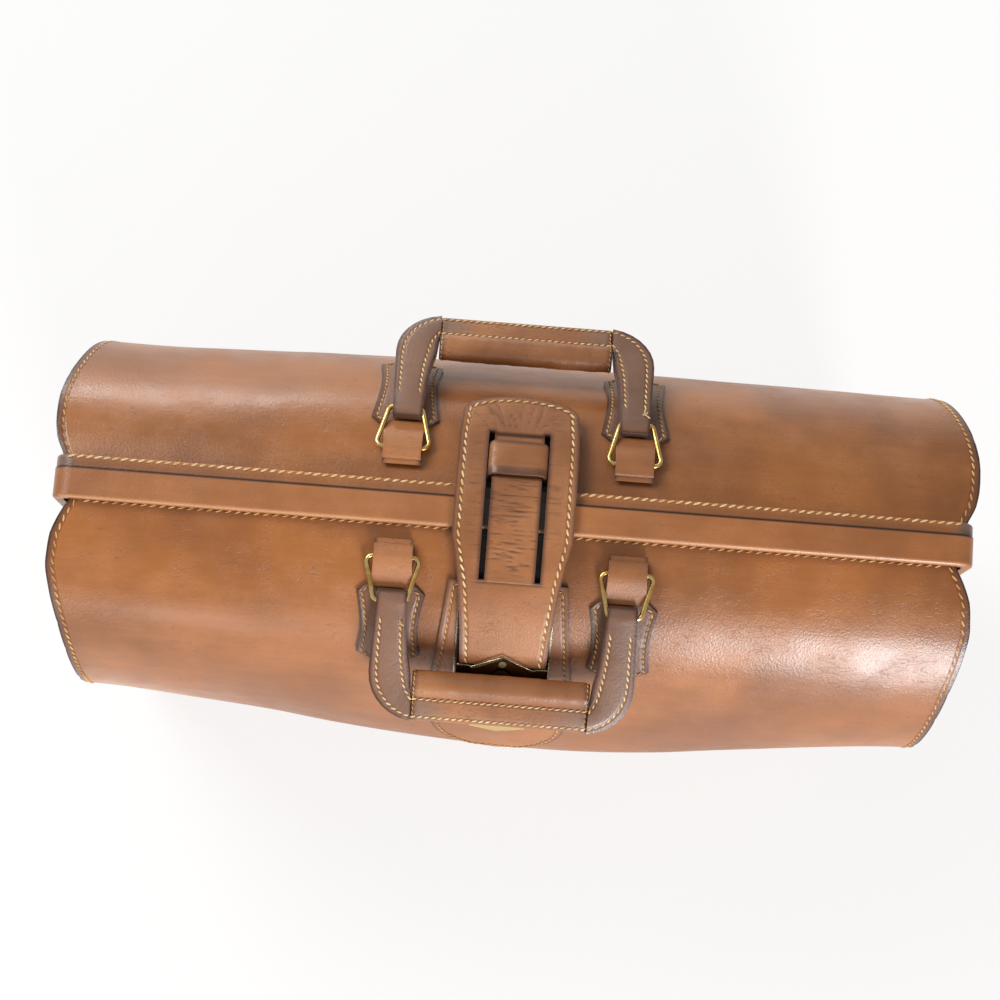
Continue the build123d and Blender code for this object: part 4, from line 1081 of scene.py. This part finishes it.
def strap_spot(x, lean):
    """A seam point given by its real distance from the middle."""
    spot = polar(x, lean, STRAP_OUTER + 0.12)
    return spot, (polar(x, lean, STRAP_OUTER + 1.0) - spot).normalized()


front_run = [(strap_half(v) - SEAM_IN, v) for v in spread(FLAP_END - 1.0, ARCH_CORNER + 0.5, 0.6)]
right_run = front_run + arch_run
strap_paths = [[strap_spot(x, v) for x, v in right_run] + [strap_spot(-x, v) for x, v in reversed(right_run)]]
strap_thread = sew(strap, "closing_strap_stitches", strap_paths, 4.2, None, seed=5, width=1.25)
for piece in (strap, strap_thread):
    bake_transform(piece)
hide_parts("closing_strap", "strap_flap")
print(strap.name, "has", len(strap.data.polygons), "faces")

# %% [markdown]
# The keeper is a bridge of hide over the tongue. Its front edge is thick and dark where it has been
# rubbed by the strap, and its feet are sewn to the back shoulder under the strap.

# %% Keeper
KEEPER_OUTLINE = [(-17.6, 92.9), (-15.4, 92.9), (-13.8, 93.6), (-13.6, 96.0), (-13.5, 100.6), (-12.6, 102.1),
                  (-10.5, 102.5)]
keeper_run = KEEPER_OUTLINE + [(x, 102.6) for x in spread(-8.0, 8.0, 2.0)] + [
    (-x, r) for x, r in reversed(KEEPER_OUTLINE)]
KEEPER_HIDE = 1.8
KEEPER_SPAN = (-18.7, -8.8)        # leans
RUBBED_EDGE = -11.4


def keeper_place(u, v, height):
    """u runs along the keeper's section, from one foot over the bridge to the other; v is a lean."""
    x, radius = on_path(keeper_run, u)
    low, high = max(0.0, u - 0.6), min(len(keeper_run) - 1.0, u + 0.6)
    a, b = keeper_run[int(low)], keeper_run[min(int(math.ceil(high)), len(keeper_run) - 1)]
    run = (b[0] - a[0], b[1] - a[1])
    size = math.hypot(*run)
    out = (-run[1] / size, run[0] / size)
    sag = (0.25 * math.sin(v * 2.2) + 0.7 * smooth(-12.5, -8.8, v)) * smooth(12.5, 10, abs(x))
    return polar(x + out[0] * (height + 0.9), v, radius + out[1] * (height + 0.9) + sag)


keeper_us = spread(0.0, len(keeper_run) - 1.0, 0.5)
keeper = leather_sheet("strap_keeper_leather", keeper_us, spread(*KEEPER_SPAN, 0.7), keeper_place, KEEPER_HIDE,
                       strap_hide, rim=0.4)
rub_where(keeper, 0.3, lambda spot: lean_of(spot) > RUBBED_EDGE)
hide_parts("strap_keeper")
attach(keeper, "back_jaw")

# %% [markdown]
# A handle is a flat U of thick hide with two rows of stitches. Its legs fold round the rings. The
# crosspiece is a second, lighter piece: it is rolled round a cord core on its inner side and sewn
# flat on its outer side, with a seam across at each end. Both are laid out flat in the handle's own
# plane and then set on the ring's narrow bar.

# %% Legs of the handles
NARROW_BAR = (28.7, 100.2)         # lean and radius of the rings' narrow bar
SLOPES = {FRONT: 27.0, BACK: 28.0}
LEG = 5.2                  # thickness
LEG_WIDTH = 15.5
GRIP_HALF = 43.5
GRIP_AT = 41.8             # the roll's middle, from the ring
GRIP_RADIUS = 6.6
CORNER = 24.5              # radius of the handle's outer corners
HANDLE_HALF = 65.0
HANDLE_REACH = 61.0
JOINT_REACH = 0.008        # how far from the joint with the crosspiece the leg's edge isn't worn
FLANGE_AT = 47.9           # where the roll ends and the flat flange begins


def handle_frame(side):
    """The origin of the handle's plane and its outward (along) and upward directions."""
    origin = polar(0.0, side * NARROW_BAR[0], NARROW_BAR[1])
    angle = math.radians(SLOPES[side])
    along = Vector((0.0, -side * math.cos(angle), -math.sin(angle)))
    up = Vector((0.0, -side * math.sin(angle), math.cos(angle)))
    return origin, along, up


LEG_STATIONS = [((49.4, -5.4), (62.8, -5.4)), ((48.9, -4.4), (63.3, -4.4)), ((48.6, 0.0), (63.5, 0.0)),
                ((48.3, 6.0), (63.7, 6.0)), ((47.6, 18.0), (64.2, 18.0)), ((47.0, 25.0), (64.6, 26.0)),
                ((46.3, 29.5), (64.9, 31.5)), ((45.4, 33.5), (HANDLE_HALF, 36.5))]
for step in range(1, 8):
    turn = math.radians(81 * step / 7)
    outer_point = (HANDLE_HALF - CORNER + CORNER * math.cos(turn), HANDLE_REACH - CORNER + CORNER * math.sin(turn))
    inner_point = (44.9 - 1.1 * step / 7, 34.6 + 13.8 * step / 7)
    LEG_STATIONS.append((inner_point, outer_point))
LEG_STATIONS.append(((43.7, FLANGE_AT), (43.7, HANDLE_REACH - 0.1)))


def leg_place(side, end):
    """u from the leg's inner edge (-1) to its outer edge (1), v along its stations."""
    origin, along, up = handle_frame(side)

    def place(u, v, height):
        index = min(int(v), len(LEG_STATIONS) - 2)
        share = v - index
        inner = Vector(LEG_STATIONS[index][0]).lerp(Vector(LEG_STATIONS[index + 1][0]), share)
        outer = Vector(LEG_STATIONS[index][1]).lerp(Vector(LEG_STATIONS[index + 1][1]), share)
        flat = inner.lerp(outer, (u + 1) / 2)
        dome = 0.55 * (1 - u * u) * (1 if height > -LEG / 2 else -1) * smooth(0.5, 2.0, v)
        if height > -LEG / 2:
            dome -= 0.09 * min(0.0, flat.y) ** 2
        return origin + at(end * flat.x, 0, 0) + along * flat.y * MM + up * (LEG / 2 + height + dome) * MM
    return place


# %% The rolled crosspiece
def crosspiece_place(side):
    """u goes round the section from the flange over the roll and back, v along the bar in mm."""
    origin, along, up = handle_frame(side)
    top = [(HANDLE_REACH - 0.1, 0.0), (HANDLE_REACH - 0.5, 1.7), (HANDLE_REACH - 1.4, 2.4),
           (HANDLE_REACH - 2.7, 2.6), (55.5, 2.7), (52.0, 2.6), (49.0, 2.4)]
    roll = [(GRIP_AT + GRIP_RADIUS * math.cos(angle), GRIP_RADIUS * math.sin(angle))
            for angle in (math.radians(22 + (360 - 44) * step / 14) for step in range(15))]
    section = top + roll + [(q, -h) for q, h in reversed(top)]

    def place(u, v, height):
        (q, h), (q2, h2) = section[int(u) % len(section)], section[(int(u) + 1) % len(section)]
        q, h = q + (q2 - q) * (u - int(u)), h + (h2 - h) * (u - int(u))
        grip = smooth(FLANGE_AT + 0.4, FLANGE_AT - 1.5, q)
        swell = 1 + grip * 0.03 * math.cos(v / GRIP_HALF * math.pi / 2)
        crease = grip * (0.22 * noise.noise(Vector((v / 6, u / 2.2, 2.0 + side))) +
                         0.16 * noise.noise(Vector((v / 2.4, u / 1.1, 8.0 + side))))
        on_roll = q < FLANGE_AT + 0.5
        q = GRIP_AT + (q - GRIP_AT) * (swell if on_roll else 1)
        h = h * swell
        outward = Vector((q - GRIP_AT, h)).normalized() if on_roll else Vector((0.0, 1.0 if h > 0 else -1.0))
        ends = smooth(GRIP_HALF, GRIP_HALF - 1.2, abs(v))
        offset = height + crease - 0.5 * (1 - ends)
        return origin + at(v, 0, 0) + along * (q + outward.x * offset) * MM + up * (h + outward.y * offset) * MM
    return place, len(section)


def closed_roll(name, place, around, stations, material):
    """A closed skin whose section is joined round, with flat ends."""
    bm, u_mark, v_mark = measured_grid([*range(around), 0], stations)
    for vert in bm.verts:
        vert.co = place(vert[u_mark], vert[v_mark], 0.0)
    bmesh.ops.remove_doubles(bm, verts=bm.verts[:], dist=1e-6)
    bmesh.ops.holes_fill(bm, edges=[edge for edge in bm.edges if edge.is_boundary], sides=0)
    bmesh.ops.recalc_face_normals(bm, faces=bm.faces[:])
    section = path_lengths([place(u, 0.0, 0.0) for u in range(around)])
    ends = [vert.co.copy() for vert in bm.verts if abs(vert[v_mark]) > abs(stations[0]) - 0.1]
    return link_hide(name, bm, [material], lambda vert: (vert[v_mark] * MM, section[int(vert[u_mark])]), ends)


# %% Both handles
LAST = len(LEG_STATIONS) - 1.0
HANDLE_PITCH = 3.4
for side_name, side in SIDES.items():
    body = f"{side_name}_handle"
    for end_name, end in ENDS.items():
        place = leg_place(side, end)
        leg = leather_sheet(f"{side_name}_handle_{end_name}_leg", across(7.5), spread(0.0, LAST, 0.25), place, LEG,
                            handled_hide, rim=1.3)
        rows = [[(edge * (1 - 2 * (2.9 + drift * smooth(LAST - 5, LAST, v)) / LEG_WIDTH), v)
                 for v in spread(3.15, LAST, 0.2)] for edge, drift in ((-1, -1.4), (1, 0.3))]
        paths = [seam_path(place, row, -0.1) for row in rows]
        sew(leg, f"{side_name}_handle_{end_name}_stitches", paths, HANDLE_PITCH, body, seed=11, width=NARROW_STITCH)
        joint = place(0.0, LAST, 0.0)
        rub_where(leg, 9.0, lambda spot: abs(spot.x) < abs(joint.x) + 0.0035 and (spot - joint).length < JOINT_REACH)
        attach(leg, body)
    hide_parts(f"{side_name}_handle_leather")
    place, around = crosspiece_place(side)
    stations = spread(-GRIP_HALF, GRIP_HALF, 1.4)
    bar = closed_roll(f"{side_name}_handle_crosspiece", place, around, stations, roll_hide)
    paths = [seam_path(place, [(u, v) for v in spread(-GRIP_HALF, GRIP_HALF, 1.5)], 0.1) for u in (3, 6)]
    end_paths = [seam_path(place, [(u / 5, x) for u in range(16, 80, 2)], 0.05)
                 for x in (-GRIP_HALF + 1.1, GRIP_HALF - 1.1)]
    end_thread = stitches(f"{side_name}_crosspiece_end_stitches", end_paths, 2.6, width=0.6, seed=14,
                          thread=aged_thread)
    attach(end_thread, body)
    sew(bar, f"{side_name}_crosspiece_stitches", paths, HANDLE_PITCH, body, seed=13, width=NARROW_STITCH)
    origin, along, up = handle_frame(side)
    mark_points(bar, "grime", lambda spot: smooth(22.0, 40.0, abs(spot.x) / MM)
                * smooth(45.0, 51.0, (spot - origin).dot(along) / MM))
    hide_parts(f"{side_name}_handle_grip", f"{side_name}_handle_core")
    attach(bar, body)
print("handles made")

# %% [markdown]
# The bottom of the bag is a flat piece of hide between the panels, with its corners rounded.
# Inside stands a plain cotton lining, which hangs a little inside the walls.

# %% Base
base_low, base_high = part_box("base_panel")
bm = bmesh.new()
bmesh.ops.create_cube(bm, size=1, matrix=Matrix.Translation((base_low + base_high) / 2)
                      @ Matrix.Diagonal((*(base_high - base_low), 1)))
upright = [edge for edge in bm.edges if abs(edge.verts[0].co.z - edge.verts[1].co.z) > 0.001]
bmesh.ops.bevel(bm, geom=upright, offset=0.008, segments=6, profile=0.5, affect="EDGES", material=-1)
flat_edges = [edge for edge in bm.edges if edge.calc_face_angle(0) > 1.0]
bmesh.ops.bevel(bm, geom=flat_edges, offset=0.0009, segments=2, profile=0.5, affect="EDGES", material=-1)
corners = [Vector((x, y, base_low.z)) for x in (base_low.x, base_high.x) for y in (base_low.y, base_high.y)]
base = link_hide("base_leather", bm, [gusset_hide], lambda vert: vert.co.xy, corners)
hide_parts("base_panel")
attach(base, "bag")

# %% Lining
LINING_TOP = 181.0
LINING_FOOT = 11.6


def lining_place(u, v, height):
    """u goes once round the inside from 0 to 4, a side for each whole number; v is a height in mm."""
    length = read_off(WALL_HALF_LENGTHS, v) - 11.5
    share = BACK_SHARE if 2 <= u % 4 < 3 else 1.0
    depth = read_off(WALL_DEPTHS, v) - HIDE - 3.0
    leg = u % 4
    if leg < 1:
        x, y = -length + 2 * length * leg, -depth
    elif leg < 2:
        x, y = length, -depth + 2 * depth * (leg - 1)
    elif leg < 3:
        x, y = length - 2 * length * (leg - 2), depth
    else:
        x, y = -length, depth - 2 * depth * (leg - 3)
    bow = read_off(WALL_BOWS, v) * bell(x / length) * share * smooth(0, depth, abs(y))
    y += math.copysign(bow, y)
    sag = 1.2 * noise.noise(Vector((x / 40, y / 40, v / 50)))
    inward = 1 - (1.2 + sag * 0.5 - height) / 100
    return at(x * inward, y * inward, v)


lining = leather_sheet("lining_cloth", spread(0.0, 4.0, 0.04), spread(LINING_FOOT, LINING_TOP, 8.0), lining_place,
                       0.9, lining_cloth, rim=0.2)
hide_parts("lining")
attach(lining, "bag")

# %% [markdown]
# The solids that stay get their finish in their own material slot.

# %% Finishes of the CAD solids
FINISHES = {
    zinc_steel: ["front_frame", "back_frame", "lock_strike"],
    dark_steel: ["lock_plate"],
    hasp_brass_with_painted_shade: ["hasp_plate", "strap_end_cap", "lock_barrel"],
    bright_nickel: ["hasp_rivets"],
    brass: ["hinge_pins", "base_studs", "lock_rivets"] + [f"{side}_{end}_ring" for side in SIDES for end in ENDS],
    fibre_board: ["base_board"],
    cover_hide: ["front_frame_cover", "back_frame_cover"],
}
for finish, names in FINISHES.items():
    for name in names:
        nodes[name].data.materials.clear()
        nodes[name].data.materials.append(finish)
print("finished", sum(len(names) for names in FINISHES.values()), "solids")

# %% [markdown]
# Some last small things: the row of stitches along the back hoop's cover, a bright bezel round the
# lock plate, a bevel of bare metal along the cap, and two tufts where a thread has come loose.

# %% Stitches along the back hoop's cover
strip_rows = [[(at(end * x, 9.8, 300.0), Vector((0.0, 0.36, 0.93))) for x in spread(31.0, 218.5, 4.0)]
              for end in ENDS.values()]
strip_thread = stitches("back_cover_stitches", strip_rows, 4.3, slant=24, share=0.95, seed=21)
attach(strip_thread, "back_jaw")

# %% Bezel and cap
BEZEL_US = [-24.1, -23.3, 22.3, 23.1]
BEZEL_VS = [30.6, 31.1] + spread(33.0, 56.5, 2.0) + [58.4, 58.9]
bezel = leather_sheet("lock_plate_bezel", BEZEL_US, BEZEL_VS, lambda u, v, height: polar(u, v, 95.1 + height), 1.0,
                      bright_nickel, cut=lambda u, v: -23.3 < u < 22.3 and 31.1 < v < 58.4, rim=0.2)
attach(bezel, "front_jaw")

CAP_SHOULDER = 15.2
CAP_LINE = [(-22.4, 47.1), (-CAP_SHOULDER, 47.3), (0.0, 43.2), (CAP_SHOULDER, 47.3), (22.4, 47.1)]
ridge_line = [(xa + (xb - xa) * i / 6, la + (lb - la) * i / 6)
              for (xa, la), (xb, lb) in zip(CAP_LINE, CAP_LINE[1:]) for i in range(6)] + [CAP_LINE[-1]]
ridge_points = [polar(x, lean, 101.5 if abs(x) > CAP_SHOULDER else 102.4) for x, lean in ridge_line]
ridge = wire("cap_bevel", [ridge_points], 0.35, bright_nickel)
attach(ridge, "flap")

# %% Loose threads
chance = random.Random(33)


def tuft(name, origin, along, up, body):
    """A few short loose ends of thread that stick up out of a seam."""
    paths = []
    for strand in range(4):
        end_of = (along * chance.uniform(-3.2, 3.2) + Vector((chance.uniform(-2.4, 2.4), 0, 0))
                  + up * chance.uniform(0.8, 2.6))
        bend_of = end_of * 0.5 + up * 1.0 + Vector((chance.uniform(-1, 1), 0, 0))
        paths.append([origin + (bend_of * (2 * t * (1 - t)) + end_of * t * t) * MM
                      for t in (0, 0.2, 0.4, 0.6, 0.8, 1.0)])
    piece = wire(name, paths, 0.32, linen_thread, sides=5)
    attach(piece, body)


for side_name, end, across_leg, station in (("front", -1, -0.63, 3.3), ("back", 1, 0.63, 2.7)):
    origin, along, up = handle_frame(SIDES[side_name])
    spot = leg_place(SIDES[side_name], end)(across_leg, station, 0.0)
    tuft(f"{side_name}_loose_thread", spot, along, up, f"{side_name}_handle")
